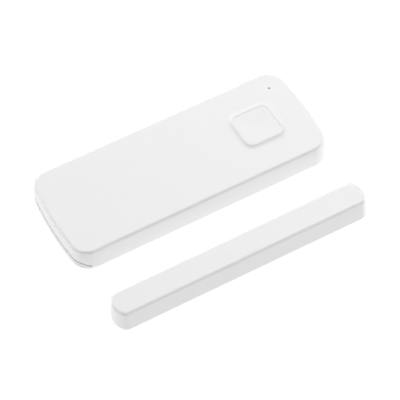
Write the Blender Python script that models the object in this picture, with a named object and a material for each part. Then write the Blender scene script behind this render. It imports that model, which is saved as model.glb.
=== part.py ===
"""Wireless door contact sensor: a flat sensor unit with a push button, and its bar magnet unit.

Frame: metres, +Z out of the wall. The origin is the middle of the back face of the sensor's adhesive
pad. +X runs along the sensor towards its button, and the magnet unit lies on the -Y side.
All sizes and places below are in millimetres. Meshes are built in metres with MM.
"""

import math

import bmesh
import bpy

MM = 0.001

# Fits
GAP = 0.3
SEAT = 0.1
EMBED = 0.2
OVERSHOOT = 1.0

# Smoothness of curves
END_STEPS = 6
CORNER_STEPS = 9
EDGE_STEPS = 4
ROUND_STEPS = 48
SMALL_ROUND_STEPS = 24
WIRE_STEPS = 8
SHARP_ANGLE = math.radians(30)

# Case plans at the top: length, width, bulge of each end, corner radius
SENSOR = (89.6, 35.3, 1.35, 5.8)
MAGNET = (86.3, 9.1, 2.1, 2.45)
MAGNET_PLACE = (-0.15, -38.0, 0.0)

# Case sections
CASE_TOP = 8.1
CASE_BACK = 0.2
SENSOR_WALL = 1.2
MAGNET_WALL = 1.0
EDGE_ROUND = 0.9
EDGE_BOTTOM = CASE_TOP - EDGE_ROUND
CASE_DRAFT = 0.4
FOOT_BEVEL = 0.4
PLATE_THICKNESS = 1.2
PLATE_TOP = CASE_BACK + PLATE_THICKNESS
SENSOR_CEILING = CASE_TOP - SENSOR_WALL
MAGNET_CEILING = CASE_TOP - MAGNET_WALL

# Parting line: the cover's skirt is rounded away at the left end, where the plate shows
PARTING_CENTRE_X = 45.7
PARTING_RUN = 6.2
PARTING_RISE = 2.9
BAND_THICKNESS = 2.1
BAND_TOP = 4.0

# Adhesive pads
PAD_THICKNESS = 0.5
PAD_POCKET_TOP = 0.8
SENSOR_PAD = (62.0, 22.0, 3.0)
MAGNET_PAD = (70.0, 4.6, 1.0)

# Button and the collar round it
BUTTON_X = 27.65
BUTTON_SIZE = 12.2
BUTTON_CORNER = 2.2
BUTTON_CLEARANCE = 0.05
BUTTON_TOP = 8.47
BUTTON_EDGE = 0.08
BUTTON_DISH = 0.15
BUTTON_SHELL = 1.1
BUTTON_FLANGE = 1.0
BUTTON_FLANGE_THICKNESS = 0.5
BUTTON_FLANGE_TOP = SENSOR_CEILING - GAP
BUTTON_FLANGE_BOTTOM = BUTTON_FLANGE_TOP - BUTTON_FLANGE_THICKNESS
BUTTON_STEM_RADIUS = 1.5
BUTTON_STEM_BOTTOM = 6.15
DISH_STEPS = 4
COLLAR_HEIGHT = 0.42
COLLAR_CREST = 0.55
COLLAR_SLOPE = 2.2
COLLAR_HOLLOW = 3
COLLAR_STEPS = 6

# Light
LIGHT_PLACE = (38.55, 11.3)
LIGHT_HOLE_RADIUS = 0.35
LIGHT_PIPE_RADIUS = 0.8
LIGHT_PIPE_BOTTOM = 5.2
LIGHT_TIP_RADIUS = 0.22
LIGHT_TIP_TOP = 7.6
LIGHT_BOSS_INNER = 1.0
LIGHT_BOSS_OUTER = 1.7
LIGHT_BOSS_BOTTOM = 5.5

# Circuit board
BOARD_INSET = 2.0
BOARD_BOTTOM = 3.2
BOARD_THICKNESS = 1.0
BOARD_TOP = BOARD_BOTTOM + BOARD_THICKNESS
BOARD_SEAT = BOARD_TOP + SEAT

# Coin cell, 20 mm by 3.2 mm, and its bay
CELL_PLACE = (-24.0, 0.0, 2.1)
CELL_RADIUS = 10.0
CELL_HEIGHT = 3.2
CELL_CAP_RADIUS = 8.8
CELL_CAP_HEIGHT = 0.3
CELL_EDGE = 0.35
BAY_INNER = 10.3
BAY_OUTER = 11.1
BAY_TOP = 4.7
BAY_SLOT_WIDTH = 4.4
BOARD_CUTOUT_RADIUS = 11.5
CONTACT_THICKNESS = 0.2
CONTACT_WIDTH = 3.0
LEAF_HALF_WAVE = 2.5
LEAF_LEG_REACH = 1.5
FINGER_FOOT = 2.5

# Screws that hold the board, and the posts they stand in
SCREW_PLACES = ((-39.0, 8.5), (-39.0, -8.5), (-8.5, 11.5), (34.5, -11.5))
SCREW_HEAD_RADIUS = 1.6
SCREW_HEAD_HEIGHT = 0.9
SCREW_HEAD_EDGE = 0.3
SCREW_SHANK_RADIUS = 0.8
SCREW_TIP = 1.9
SCREW_RECESS_DEPTH = 0.5
SCREW_RECESS_ARM = 0.95
SCREW_RECESS_WIDTH = 0.22
POST_RADIUS = 2.2
POST_HOLE_RADIUS = 1.0
POST_HOLE_BOTTOM = 1.7
BOARD_HOLE_RADIUS = 1.1

# Tabs that centre the cover on the plate
TAB_LENGTH = 6.0
TAB_THICKNESS = 0.8
TAB_TOP = 2.9
TAB_XS = (-24.0, 4.0, 24.0)

# Switches: size along X and Y, top
TACT_SIZE = (6.0, 6.0)
TACT_TOP = 5.5
SWITCH_WELL_BOTTOM = 4.5
TACT_PLUNGER_RADIUS = 1.5
TACT_PLUNGER_BOTTOM = 5.0
TACT_PLUNGER_TOP = 5.85
TAMPER_PLACE = (16.5, 11.5)
TAMPER_SIZE = (4.5, 3.6)
TAMPER_TOP = 5.6
TAMPER_PLUNGER_RADIUS = 0.7
TAMPER_PLUNGER_BOTTOM = 4.6
TAMPER_PLUNGER_TOP = 6.0
TAMPER_PEG_RADIUS = 1.2
TAMPER_PEG_BOTTOM = 6.25
PLUNGER_CLEARANCE = 0.2

# Reed switch
REED_PLACE = (0.0, -12.9, 5.5)
REED_GLASS_RADIUS = 1.1
REED_BORE_RADIUS = 0.8
REED_NECK_RADIUS = 0.5
REED_HALF_LENGTH = 6.5
REED_BORE_HALF_LENGTH = 5.6
REED_OVERLAP = 0.8
REED_WIRE_RADIUS = 0.25
REED_BLADE_HALF_WIDTH = 0.5
REED_BLADE_HALF_THICKNESS = 0.15
REED_BLADE_OFFSET = 0.25
REED_BEND_X = 9.4

# Radio and small board parts: centre x and y, size x, y and z
RADIO_BLOCK = ((5.5, 3.0), (15.0, 11.5, 0.8))
SHIELD_BLOCK = ((4.0, 3.0), (10.5, 10.0, 1.4))
SHIELD_WALL = 0.25
SMALL_PARTS = {
    "chip_antenna": ((39.6, -3.0), (2.0, 7.0, 0.9), "ceramic"),
    "crystal": ((16.5, -9.6), (3.2, 2.5, 0.8), "tinned_steel"),
    "status_led": (LIGHT_PLACE, (1.6, 0.9, 0.6), "led_lens"),
    "regulator_chip": ((-6.0, -2.0), (3.0, 3.0, 0.9), "chip_black"),
    "capacitor_1": ((-6.5, 5.5), (2.0, 1.25, 1.1), "capacitor_tan"),
    "capacitor_2": ((22.5, -10.5), (2.0, 1.25, 1.1), "capacitor_tan"),
    "capacitor_3": ((23.5, 11.0), (1.6, 0.8, 0.8), "capacitor_tan"),
    "resistor_1": ((27.5, 11.0), (1.6, 0.8, 0.5), "chip_black"),
    "resistor_2": ((34.5, 11.0), (1.6, 0.8, 0.5), "chip_black"),
}
PART_BEVEL = 0.1
PART_BEVEL_STEPS = 1

# Magnet unit's contents
BAR_SIZE = (36.0, 4.4, 4.0)
BAR_BOTTOM = 1.7
BAR_BEVEL = 0.3
FOAM_SIZE = (30.0, 4.0, 1.0)
STOP_LENGTH = 1.2
STOP_WIDTH = 4.4
STOP_TOP = 4.0

# Colour (linear), roughness, metallic
MATERIALS = {
    "white_shell": ((0.86, 0.86, 0.86), 0.42, 0.0),
    "white_inner": ((0.80, 0.80, 0.79), 0.50, 0.0),
    "clear_pipe": ((0.85, 0.88, 0.90), 0.15, 0.0),
    "board_green": ((0.02, 0.16, 0.07), 0.40, 0.0),
    "cell_steel": ((0.62, 0.62, 0.60), 0.28, 1.0),
    "contact_nickel": ((0.66, 0.62, 0.52), 0.30, 1.0),
    "screw_steel": ((0.42, 0.42, 0.42), 0.35, 1.0),
    "shield_steel": ((0.60, 0.60, 0.58), 0.35, 1.0),
    "tinned_steel": ((0.65, 0.65, 0.62), 0.30, 1.0),
    "ceramic": ((0.80, 0.78, 0.72), 0.55, 0.0),
    "led_lens": ((0.85, 0.82, 0.60), 0.25, 0.0),
    "chip_black": ((0.02, 0.02, 0.02), 0.45, 0.0),
    "capacitor_tan": ((0.42, 0.28, 0.14), 0.50, 0.0),
    "switch_black": ((0.03, 0.03, 0.03), 0.50, 0.0),
    "plunger_brown": ((0.20, 0.10, 0.05), 0.50, 0.0),
    "reed_glass": ((0.55, 0.75, 0.62), 0.08, 0.0),
    "foam_tape": ((0.70, 0.70, 0.68), 0.90, 0.0),
    "foam_grey": ((0.12, 0.12, 0.12), 0.95, 0.0),
    "magnet_nickel": ((0.50, 0.50, 0.49), 0.25, 1.0),
}


def clear_scene():
    for thing in list(bpy.data.objects):
        bpy.data.objects.remove(thing, do_unlink=True)


def material(name):
    """The named Principled material, made once."""
    found = bpy.data.materials.get(name)
    if found:
        return found
    colour, roughness, metallic = MATERIALS[name]
    made = bpy.data.materials.new(name)
    made.use_nodes = True
    shader = made.node_tree.nodes["Principled BSDF"]
    shader.inputs["Base Color"].default_value = (*colour, 1.0)
    shader.inputs["Roughness"].default_value = roughness
    shader.inputs["Metallic"].default_value = metallic
    made.diffuse_color = (*colour, 1.0)
    return made


# Outlines in plan, as lists of (x, y) running anticlockwise


def case_outline(plan, inset=0.0):
    """Straight long sides, gently bulged ends and rounded corners, all moved in by inset."""
    length, width, bulge, corner = plan
    end_radius = ((width / 2) ** 2 + bulge ** 2) / (2 * bulge)
    end_x = length / 2 - end_radius
    corner_y = width / 2 - corner
    corner_x = end_x + math.sqrt((end_radius - corner) ** 2 - corner_y ** 2)
    tangent = math.atan2(corner_y, corner_x - end_x)
    quarter = []
    for step in range(END_STEPS):
        angle = tangent * step / END_STEPS
        reach = end_radius - inset
        quarter.append((end_x + reach * math.cos(angle), reach * math.sin(angle)))
    for step in range(CORNER_STEPS + 1):
        angle = tangent + (math.pi / 2 - tangent) * step / CORNER_STEPS
        reach = corner - inset
        quarter.append((corner_x + reach * math.cos(angle), corner_y + reach * math.sin(angle)))
    far_side = quarter + [(-x, y) for x, y in reversed(quarter)]
    return far_side + [(x, -y) for x, y in reversed(far_side[1:-1])]


def rounded_outline(length, width, corner):
    """A rectangle with rounded corners, centred on the origin."""
    points = []
    for quadrant in range(4):
        sign_x = 1 if quadrant in (0, 3) else -1
        sign_y = 1 if quadrant in (0, 1) else -1
        for step in range(CORNER_STEPS + 1):
            angle = (quadrant + step / CORNER_STEPS) * math.pi / 2
            points.append((
                sign_x * (length / 2 - corner) + corner * math.cos(angle),
                sign_y * (width / 2 - corner) + corner * math.sin(angle),
            ))
    return points


def square_outline(size, corner):
    return rounded_outline(size, size, corner)


def box_outline(length, width):
    x = length / 2
    y = width / 2
    return [(x, -y), (x, y), (-x, y), (-x, -y)]


def circle_outline(radius, steps=ROUND_STEPS):
    turns = [2 * math.pi * step / steps for step in range(steps)]
    return [(radius * math.cos(turn), radius * math.sin(turn)) for turn in turns]


def cross_outline(arm, half_width, steps=SMALL_ROUND_STEPS):
    """A plus-shaped outline, as the distance from its middle in each direction."""
    points = []
    for step in range(steps):
        turn = 2 * math.pi * step / steps
        across = max(abs(math.cos(turn)), half_width / arm)
        along = max(abs(math.sin(turn)), half_width / arm)
        reach = max(min(arm / across, half_width / along), min(arm / along, half_width / across))
        points.append((reach * math.cos(turn), reach * math.sin(turn)))
    return points


def ring(outline, z, centre=(0.0, 0.0)):
    """An outline lifted to height z about a centre."""
    return [(x + centre[0], y + centre[1], z) for x, y in outline]


def straight(outline, bottom, top, centre=(0.0, 0.0)):
    """The two rings of a straight prism."""
    return [ring(outline, bottom, centre), ring(outline, top, centre)]


# Solids


def add_skin(mesh, rings, closed_loop):
    """Skin a row of rings with equal point counts; the ends are capped, or joined into a loop."""
    rows = [[mesh.verts.new([value * MM for value in point]) for point in points] for points in rings]
    pairs = list(zip(rows, rows[1:]))
    if closed_loop:
        pairs.append((rows[-1], rows[0]))
    else:
        mesh.faces.new(rows[0])
        mesh.faces.new(rows[-1])
    count = len(rows[0])
    for lower, upper in pairs:
        for index in range(count):
            after = (index + 1) % count
            mesh.faces.new((lower[index], lower[after], upper[after], upper[index]))


def solid(name, skins, colour, place=(0.0, 0.0, 0.0), parent=None, closed_loop=False):
    """An object made of one or more skins of rings, given about its own origin."""
    mesh = bmesh.new()
    for rings in skins:
        add_skin(mesh, rings, closed_loop)
    bmesh.ops.recalc_face_normals(mesh, faces=mesh.faces)
    return finish(name, mesh, colour, place, parent)


def block(name, size, colour, place, parent=None, bevel=PART_BEVEL):
    """A box standing on its place, with softened edges."""
    mesh = bmesh.new()
    bmesh.ops.create_cube(mesh, size=1.0)
    bmesh.ops.scale(mesh, vec=[value * MM for value in size], verts=mesh.verts)
    bmesh.ops.translate(mesh, vec=(0.0, 0.0, size[2] * MM / 2), verts=mesh.verts)
    made = finish(name, mesh, colour, place, parent)
    softening = made.modifiers.new("softened_edges", "BEVEL")
    softening.width = bevel * MM
    softening.segments = PART_BEVEL_STEPS
    return made


def finish(name, mesh, colour, place, parent):
    """Turn a bmesh into a smooth-shaded object with its material, place and parent."""
    data = bpy.data.meshes.new(name)
    mesh.to_mesh(data)
    mesh.free()
    data.shade_smooth()
    data.set_sharp_from_angle(angle=SHARP_ANGLE)
    data.materials.append(material(colour))
    made = bpy.data.objects.new(name, data)
    made.location = [value * MM for value in place]
    made.parent = parent
    bpy.context.scene.collection.objects.link(made)
    return made


def combine(target, tool, operation):
    """Boolean one object with another, which stays in the scene as a hidden guide."""
    tool.hide_render = True
    tool.display_type = "WIRE"
    cut = target.modifiers.new(tool.name, "BOOLEAN")
    cut.operation = operation
    cut.solver = "EXACT"
    cut.object = tool


def bent_strip(name, path, colour, place, parent):
    """Sheet metal: a path in X and Z, CONTACT_WIDTH wide in Y, thickened about its middle."""
    mesh = bmesh.new()
    sides = []
    for y in (-CONTACT_WIDTH / 2, CONTACT_WIDTH / 2):
        sides.append([mesh.verts.new((x * MM, y * MM, z * MM)) for x, z in path])
    for index in range(len(path) - 1):
        mesh.faces.new((sides[0][index], sides[1][index], sides[1][index + 1], sides[0][index + 1]))
    made = finish(name, mesh, colour, place, parent)
    thickening = made.modifiers.new("sheet_thickness", "SOLIDIFY")
    thickening.thickness = CONTACT_THICKNESS * MM
    thickening.offset = 0.0
    thickening.use_even_offset = True
    return made


def parting_rings(reach):
    """An elliptical roller across the left end, grown by reach, that shapes the parting line."""
    section = [
        (
            (PARTING_RUN + reach) * math.cos(turn) - PARTING_CENTRE_X,
            CASE_BACK + (PARTING_RISE + reach) * math.sin(turn),
        )
        for turn in (2 * math.pi * step / ROUND_STEPS for step in range(ROUND_STEPS))
    ]
    width = SENSOR[1]
    return [[[(x, y, z) for x, z in section] for y in (-width, width)]]


def wall_inset(z):
    """How far the drafted wall stands in from the top's outline at height z, less than nothing."""
    return -CASE_DRAFT * (EDGE_BOTTOM - z) / (EDGE_BOTTOM - CASE_BACK)


def foot_rings(plan):
    """The bevelled foot of a drafted wall, from the back up."""
    side_z = CASE_BACK + FOOT_BEVEL
    return [
        ring(case_outline(plan, FOOT_BEVEL + wall_inset(CASE_BACK)), CASE_BACK),
        ring(case_outline(plan, wall_inset(side_z)), side_z),
    ]


def shell_rings(plan, wall, ceiling):
    """A case shell open at the back: up its inside, under its foot and over its rounded top edge."""
    rings = [ring(case_outline(plan, wall), ceiling), ring(case_outline(plan, wall), CASE_BACK)]
    rings += foot_rings(plan)
    for step in range(EDGE_STEPS + 1):
        turn = math.pi / 2 * step / EDGE_STEPS
        inset = EDGE_ROUND * (1 - math.cos(turn))
        rings.append(ring(case_outline(plan, inset), EDGE_BOTTOM + EDGE_ROUND * math.sin(turn)))
    return rings


# Sensor unit


def make_front_cover(unit):
    shell = shell_rings(SENSOR, SENSOR_WALL, SENSOR_CEILING)
    cover = solid("front_cover", [shell], "white_shell", parent=unit)
    combine(cover, make_collar(unit), "UNION")
    root = SENSOR_CEILING + EMBED
    peg = straight(circle_outline(TAMPER_PEG_RADIUS), TAMPER_PEG_BOTTOM, root, TAMPER_PLACE)
    boss = straight(circle_outline(LIGHT_BOSS_OUTER), LIGHT_BOSS_BOTTOM, root, LIGHT_PLACE)
    for name, rings in (("tamper_peg_guide", peg), ("light_boss_guide", boss)):
        combine(cover, solid(name, [rings], "white_shell", parent=unit), "UNION")
    over = CASE_TOP + OVERSHOOT
    bore = straight(circle_outline(LIGHT_BOSS_INNER), CASE_BACK, SENSOR_CEILING, LIGHT_PLACE)
    hole = straight(circle_outline(LIGHT_HOLE_RADIUS), SENSOR_CEILING - EMBED, over, LIGHT_PLACE)
    opening = square_outline(BUTTON_SIZE + 2 * BUTTON_CLEARANCE, BUTTON_CORNER + BUTTON_CLEARANCE)
    opening = straight(opening, SENSOR_CEILING - OVERSHOOT, over, (BUTTON_X, 0.0))
    for name, skins in (
        ("light_bore_guide", [bore]),
        ("light_hole_guide", [hole]),
        ("button_opening_guide", [opening]),
        ("skirt_end_guide", parting_rings(0.0)),
    ):
        combine(cover, solid(name, skins, "white_shell", parent=unit), "DIFFERENCE")


def make_collar(unit):
    """The low collar round the button: a narrow crest, then a hollow slope that fades into the face."""
    crest = BUTTON_SIZE + 2 * (BUTTON_CLEARANCE + COLLAR_CREST)
    crest_corner = BUTTON_CORNER + BUTTON_CLEARANCE + COLLAR_CREST
    foot = square_outline(crest + 2 * COLLAR_SLOPE, crest_corner + COLLAR_SLOPE)
    centre = (BUTTON_X, 0.0)
    rings = [ring(foot, CASE_TOP - COLLAR_HEIGHT, centre)]
    for step in range(COLLAR_STEPS + 1):
        share = step / COLLAR_STEPS
        outward = COLLAR_SLOPE * (1 - share)
        height = COLLAR_HEIGHT * share ** COLLAR_HOLLOW
        outline = square_outline(crest + 2 * outward, crest_corner + outward)
        rings.append(ring(outline, CASE_TOP + height, centre))
    return solid("collar_guide", [rings], "white_shell", parent=unit)


def make_button_cap(unit):
    """The button: a dished cap with a flange under the cover and a stem down to its switch."""
    hollow = square_outline(BUTTON_SIZE - 2 * BUTTON_SHELL, BUTTON_CORNER - BUTTON_SHELL)
    flange = square_outline(BUTTON_SIZE + 2 * BUTTON_FLANGE, BUTTON_CORNER + BUTTON_FLANGE)
    side = square_outline(BUTTON_SIZE, BUTTON_CORNER)
    rings = [
        ring(hollow, BUTTON_TOP - BUTTON_SHELL),
        ring(hollow, BUTTON_FLANGE_BOTTOM),
        ring(flange, BUTTON_FLANGE_BOTTOM),
        ring(flange, BUTTON_FLANGE_TOP),
        ring(side, BUTTON_FLANGE_TOP),
    ]
    for step in range(EDGE_STEPS + 1):
        turn = math.pi / 2 * step / EDGE_STEPS
        inset = BUTTON_EDGE * (1 - math.cos(turn))
        outline = square_outline(BUTTON_SIZE - 2 * inset, BUTTON_CORNER - inset)
        rings.append(ring(outline, BUTTON_TOP - BUTTON_EDGE * (1 - math.sin(turn))))
    flat_size = BUTTON_SIZE - 2 * BUTTON_EDGE
    flat_corner = BUTTON_CORNER - BUTTON_EDGE
    for step in range(1, DISH_STEPS):
        share = 1 - step / DISH_STEPS
        outline = square_outline(flat_size * share, flat_corner * share)
        rings.append(ring(outline, BUTTON_TOP - BUTTON_DISH * (1 - share ** 2)))
    cap = solid("button_cap", [rings], "white_shell", (BUTTON_X, 0.0, 0.0), unit)
    stem_top = BUTTON_TOP - BUTTON_SHELL + EMBED
    stem = solid(
        "button_stem_guide",
        [straight(circle_outline(BUTTON_STEM_RADIUS), BUTTON_STEM_BOTTOM, stem_top)],
        "white_shell",
        (BUTTON_X, 0.0, 0.0),
        unit,
    )
    combine(cap, stem, "UNION")


def make_light_pipe(unit):
    """A clear rod whose thin tip stands in the light hole."""
    rod = circle_outline(LIGHT_PIPE_RADIUS, SMALL_ROUND_STEPS)
    tip = circle_outline(LIGHT_TIP_RADIUS, SMALL_ROUND_STEPS)
    rod_top = SENSOR_CEILING - SEAT
    rings = [ring(rod, LIGHT_PIPE_BOTTOM), ring(rod, rod_top), ring(tip, rod_top), ring(tip, LIGHT_TIP_TOP)]
    solid("light_pipe", [rings], "clear_pipe", (*LIGHT_PLACE, 0.0), unit)


def make_rear_plate(unit):
    """The back of the case: floor, end band that closes the skirt's left end, cell bay, posts and tabs."""
    floor_outline = case_outline(SENSOR, SENSOR_WALL + GAP)
    plate = solid("rear_plate", [straight(floor_outline, CASE_BACK, PLATE_TOP)], "white_inner", parent=unit)
    combine(plate, make_end_band(unit), "UNION")
    combine(plate, make_cell_bay(unit), "UNION")
    post = circle_outline(POST_RADIUS)
    post_top = BOARD_BOTTOM - GAP
    posts = [straight(post, PLATE_TOP - EMBED, post_top, place) for place in SCREW_PLACES]
    combine(plate, solid("post_guide", posts, "white_inner", parent=unit), "UNION")
    tab = box_outline(TAB_LENGTH, TAB_THICKNESS)
    tab_y = SENSOR[1] / 2 - SENSOR_WALL - GAP - TAB_THICKNESS / 2
    tabs = [
        straight(tab, PLATE_TOP - EMBED, TAB_TOP, (x, side * tab_y - side * EMBED / 2))
        for x in TAB_XS
        for side in (-1, 1)
    ]
    combine(plate, solid("tab_guide", tabs, "white_inner", parent=unit), "UNION")
    pilot = circle_outline(POST_HOLE_RADIUS, SMALL_ROUND_STEPS)
    pilots = [straight(pilot, POST_HOLE_BOTTOM, BAND_TOP, place) for place in SCREW_PLACES]
    combine(plate, solid("pilot_hole_guide", pilots, "white_inner", parent=unit), "DIFFERENCE")
    combine(plate, pad_pocket("sensor_pocket_guide", SENSOR_PAD, unit), "DIFFERENCE")


def make_end_band(unit):
    """The full outline under the parting roller, hollowed above the floor."""
    rings = foot_rings(SENSOR)
    rings.append(ring(case_outline(SENSOR, wall_inset(BAND_TOP)), BAND_TOP))
    bands = solid("end_band_guide", [rings], "white_inner", parent=unit)
    rollers = solid("parting_roller_guide", parting_rings(-GAP), "white_inner", parent=unit)
    combine(bands, rollers, "INTERSECT")
    inside = straight(case_outline(SENSOR, BAND_THICKNESS), PLATE_TOP, BAND_TOP + OVERSHOOT)
    combine(bands, solid("band_hollow_guide", [inside], "white_inner", parent=unit), "DIFFERENCE")
    return bands


def make_cell_bay(unit):
    """A wall round the coin cell with a slot on each side for its contacts."""
    centre = CELL_PLACE[:2]
    outer = circle_outline(BAY_OUTER)
    inner = circle_outline(BAY_INNER)
    bottom = PLATE_TOP - EMBED
    rings = [
        ring(outer, bottom, centre),
        ring(outer, BAY_TOP, centre),
        ring(inner, BAY_TOP, centre),
        ring(inner, bottom, centre),
    ]
    bay = solid("cell_bay_guide", [rings], "white_inner", parent=unit, closed_loop=True)
    slot_outline = box_outline(2 * (BAY_OUTER + OVERSHOOT), BAY_SLOT_WIDTH)
    slot = straight(slot_outline, PLATE_TOP, BAY_TOP + OVERSHOOT, centre)
    combine(bay, solid("bay_slot_guide", [slot], "white_inner", parent=unit), "DIFFERENCE")
    return bay


def pad_pocket(name, pad, unit):
    """The shallow pocket in a back plate that holds an adhesive pad."""
    length, width, corner = pad
    outline = rounded_outline(length + 2 * GAP, width + 2 * GAP, corner + GAP)
    pocket = straight(outline, CASE_BACK - OVERSHOOT, PAD_POCKET_TOP)
    return solid(name, [pocket], "white_inner", parent=unit)


def make_adhesive_pad(name, pad, unit):
    solid(name, [straight(rounded_outline(*pad), 0.0, PAD_THICKNESS)], "foam_tape", parent=unit)


def make_circuit_board(unit):
    """The board, cut out round the cell bay and drilled for its screws."""
    outline = case_outline(SENSOR, BOARD_INSET)
    board = solid("circuit_board", [straight(outline, BOARD_BOTTOM, BOARD_TOP)], "board_green", parent=unit)
    cuts = [straight(circle_outline(BOARD_CUTOUT_RADIUS), 0.0, CASE_TOP, CELL_PLACE[:2])]
    hole = circle_outline(BOARD_HOLE_RADIUS)
    cuts += [straight(hole, 0.0, CASE_TOP, place) for place in SCREW_PLACES]
    combine(board, solid("board_cut_guide", cuts, "board_green", parent=unit), "DIFFERENCE")


def make_board_screws(unit):
    """Pan-head screws with a cross recess, one for each post."""
    shank = circle_outline(SCREW_SHANK_RADIUS, SMALL_ROUND_STEPS)
    tip = circle_outline(SCREW_SHANK_RADIUS / 2, SMALL_ROUND_STEPS)
    head = circle_outline(SCREW_HEAD_RADIUS, SMALL_ROUND_STEPS)
    crown = circle_outline(SCREW_HEAD_RADIUS - SCREW_HEAD_EDGE, SMALL_ROUND_STEPS)
    recess = cross_outline(SCREW_RECESS_ARM, SCREW_RECESS_WIDTH)
    head_top = BOARD_SEAT + SCREW_HEAD_HEIGHT
    rings = [
        ring(tip, SCREW_TIP),
        ring(shank, SCREW_TIP + SCREW_SHANK_RADIUS / 2),
        ring(shank, BOARD_SEAT),
        ring(head, BOARD_SEAT),
        ring(head, head_top - SCREW_HEAD_EDGE),
        ring(crown, head_top),
        ring(recess, head_top),
        ring(recess, head_top - SCREW_RECESS_DEPTH),
    ]
    for number, place in enumerate(SCREW_PLACES, start=1):
        solid(f"board_screw_{number}", [rings], "screw_steel", (*place, 0.0), unit)


def make_coin_cell(unit):
    """A button cell, its can facing out and its smaller cap facing the plate."""
    cap = circle_outline(CELL_CAP_RADIUS)
    can = circle_outline(CELL_RADIUS)
    soft = circle_outline(CELL_RADIUS - CELL_EDGE)
    rings = [
        ring(cap, 0.0),
        ring(cap, CELL_CAP_HEIGHT),
        ring(soft, CELL_CAP_HEIGHT),
        ring(can, CELL_CAP_HEIGHT + CELL_EDGE),
        ring(can, CELL_HEIGHT - CELL_EDGE),
        ring(soft, CELL_HEIGHT),
    ]
    solid("coin_cell", [rings], "cell_steel", CELL_PLACE, unit)


def make_cell_contacts(unit):
    """A spring leaf under the cell's cap, and a spring finger beside its can."""
    low = PLATE_TOP + SEAT + CONTACT_THICKNESS / 2
    crest = CELL_PLACE[2] - SEAT - CONTACT_THICKNESS / 2
    leg_x = BOARD_CUTOUT_RADIUS + LEAF_LEG_REACH
    leaf = [
        (-LEAF_HALF_WAVE, low),
        (0.0, crest),
        (LEAF_HALF_WAVE, low),
        (leg_x, low),
        (leg_x, BOARD_BOTTOM - GAP),
    ]
    bent_strip("cell_contact_negative", leaf, "contact_nickel", (*CELL_PLACE[:2], 0.0), unit)
    foot_z = BOARD_SEAT + CONTACT_THICKNESS / 2
    finger_x = -CELL_RADIUS - 2 * GAP
    finger = [
        (-BOARD_CUTOUT_RADIUS - FINGER_FOOT, foot_z),
        (finger_x, foot_z),
        (finger_x + GAP / 2, BOARD_BOTTOM),
        (finger_x, PLATE_TOP + 2 * GAP),
    ]
    bent_strip("cell_contact_positive", finger, "contact_nickel", (*CELL_PLACE[:2], 0.0), unit)


def make_switch(name, size, top, well_radius, well_bottom, place, unit):
    """A switch body with a round well for its plunger."""
    height = top - BOARD_SEAT
    body = block(name, (*size, height), "switch_black", (*place, BOARD_SEAT), unit)
    well = straight(circle_outline(well_radius, SMALL_ROUND_STEPS), well_bottom, top + OVERSHOOT, place)
    combine(body, solid(f"{name}_well_guide", [well], "switch_black", parent=unit), "DIFFERENCE")


def make_plunger(name, radius, bottom, top, place, unit):
    outline = circle_outline(radius, SMALL_ROUND_STEPS)
    crown = circle_outline(radius - SEAT, SMALL_ROUND_STEPS)
    rings = [ring(outline, bottom), ring(outline, top - SEAT), ring(crown, top)]
    solid(name, [rings], "plunger_brown", (*place, 0.0), unit)


def make_switches(unit):
    """The push switch under the button, and the tamper switch that the cover holds down."""
    button_place = (BUTTON_X, 0.0)
    tact_well = TACT_PLUNGER_RADIUS + PLUNGER_CLEARANCE
    make_switch("tact_switch_body", TACT_SIZE, TACT_TOP, tact_well, SWITCH_WELL_BOTTOM, button_place, unit)
    make_plunger(
        "tact_switch_plunger", TACT_PLUNGER_RADIUS, TACT_PLUNGER_BOTTOM, TACT_PLUNGER_TOP, button_place, unit
    )
    tamper_well = TAMPER_PLUNGER_RADIUS + PLUNGER_CLEARANCE
    make_switch(
        "tamper_switch_body", TAMPER_SIZE, TAMPER_TOP, tamper_well, SWITCH_WELL_BOTTOM, TAMPER_PLACE, unit
    )
    make_plunger(
        "tamper_switch_plunger",
        TAMPER_PLUNGER_RADIUS,
        TAMPER_PLUNGER_BOTTOM,
        TAMPER_PLUNGER_TOP,
        TAMPER_PLACE,
        unit,
    )


def across_x(outline, x):
    """An outline stood across the X axis at x."""
    return [(x, y, z) for y, z in outline]


def make_reed_glass(unit):
    """The reed switch's glass tube, necked in at both ends round its leads."""
    outer = circle_outline(REED_GLASS_RADIUS, SMALL_ROUND_STEPS)
    shoulder = circle_outline(REED_BORE_RADIUS, SMALL_ROUND_STEPS)
    neck = circle_outline(REED_NECK_RADIUS, SMALL_ROUND_STEPS)
    shoulder_x = REED_HALF_LENGTH - REED_GLASS_RADIUS / 2
    rings = [
        across_x(neck, -REED_HALF_LENGTH),
        across_x(shoulder, -REED_HALF_LENGTH),
        across_x(outer, -shoulder_x),
        across_x(outer, shoulder_x),
        across_x(shoulder, REED_HALF_LENGTH),
        across_x(neck, REED_HALF_LENGTH),
        across_x(neck, REED_BORE_HALF_LENGTH),
        across_x(shoulder, REED_BORE_HALF_LENGTH - REED_GLASS_RADIUS / 2),
        across_x(shoulder, REED_GLASS_RADIUS / 2 - REED_BORE_HALF_LENGTH),
        across_x(neck, -REED_BORE_HALF_LENGTH),
    ]
    solid("reed_glass", [rings], "reed_glass", REED_PLACE, unit, closed_loop=True)


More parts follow.
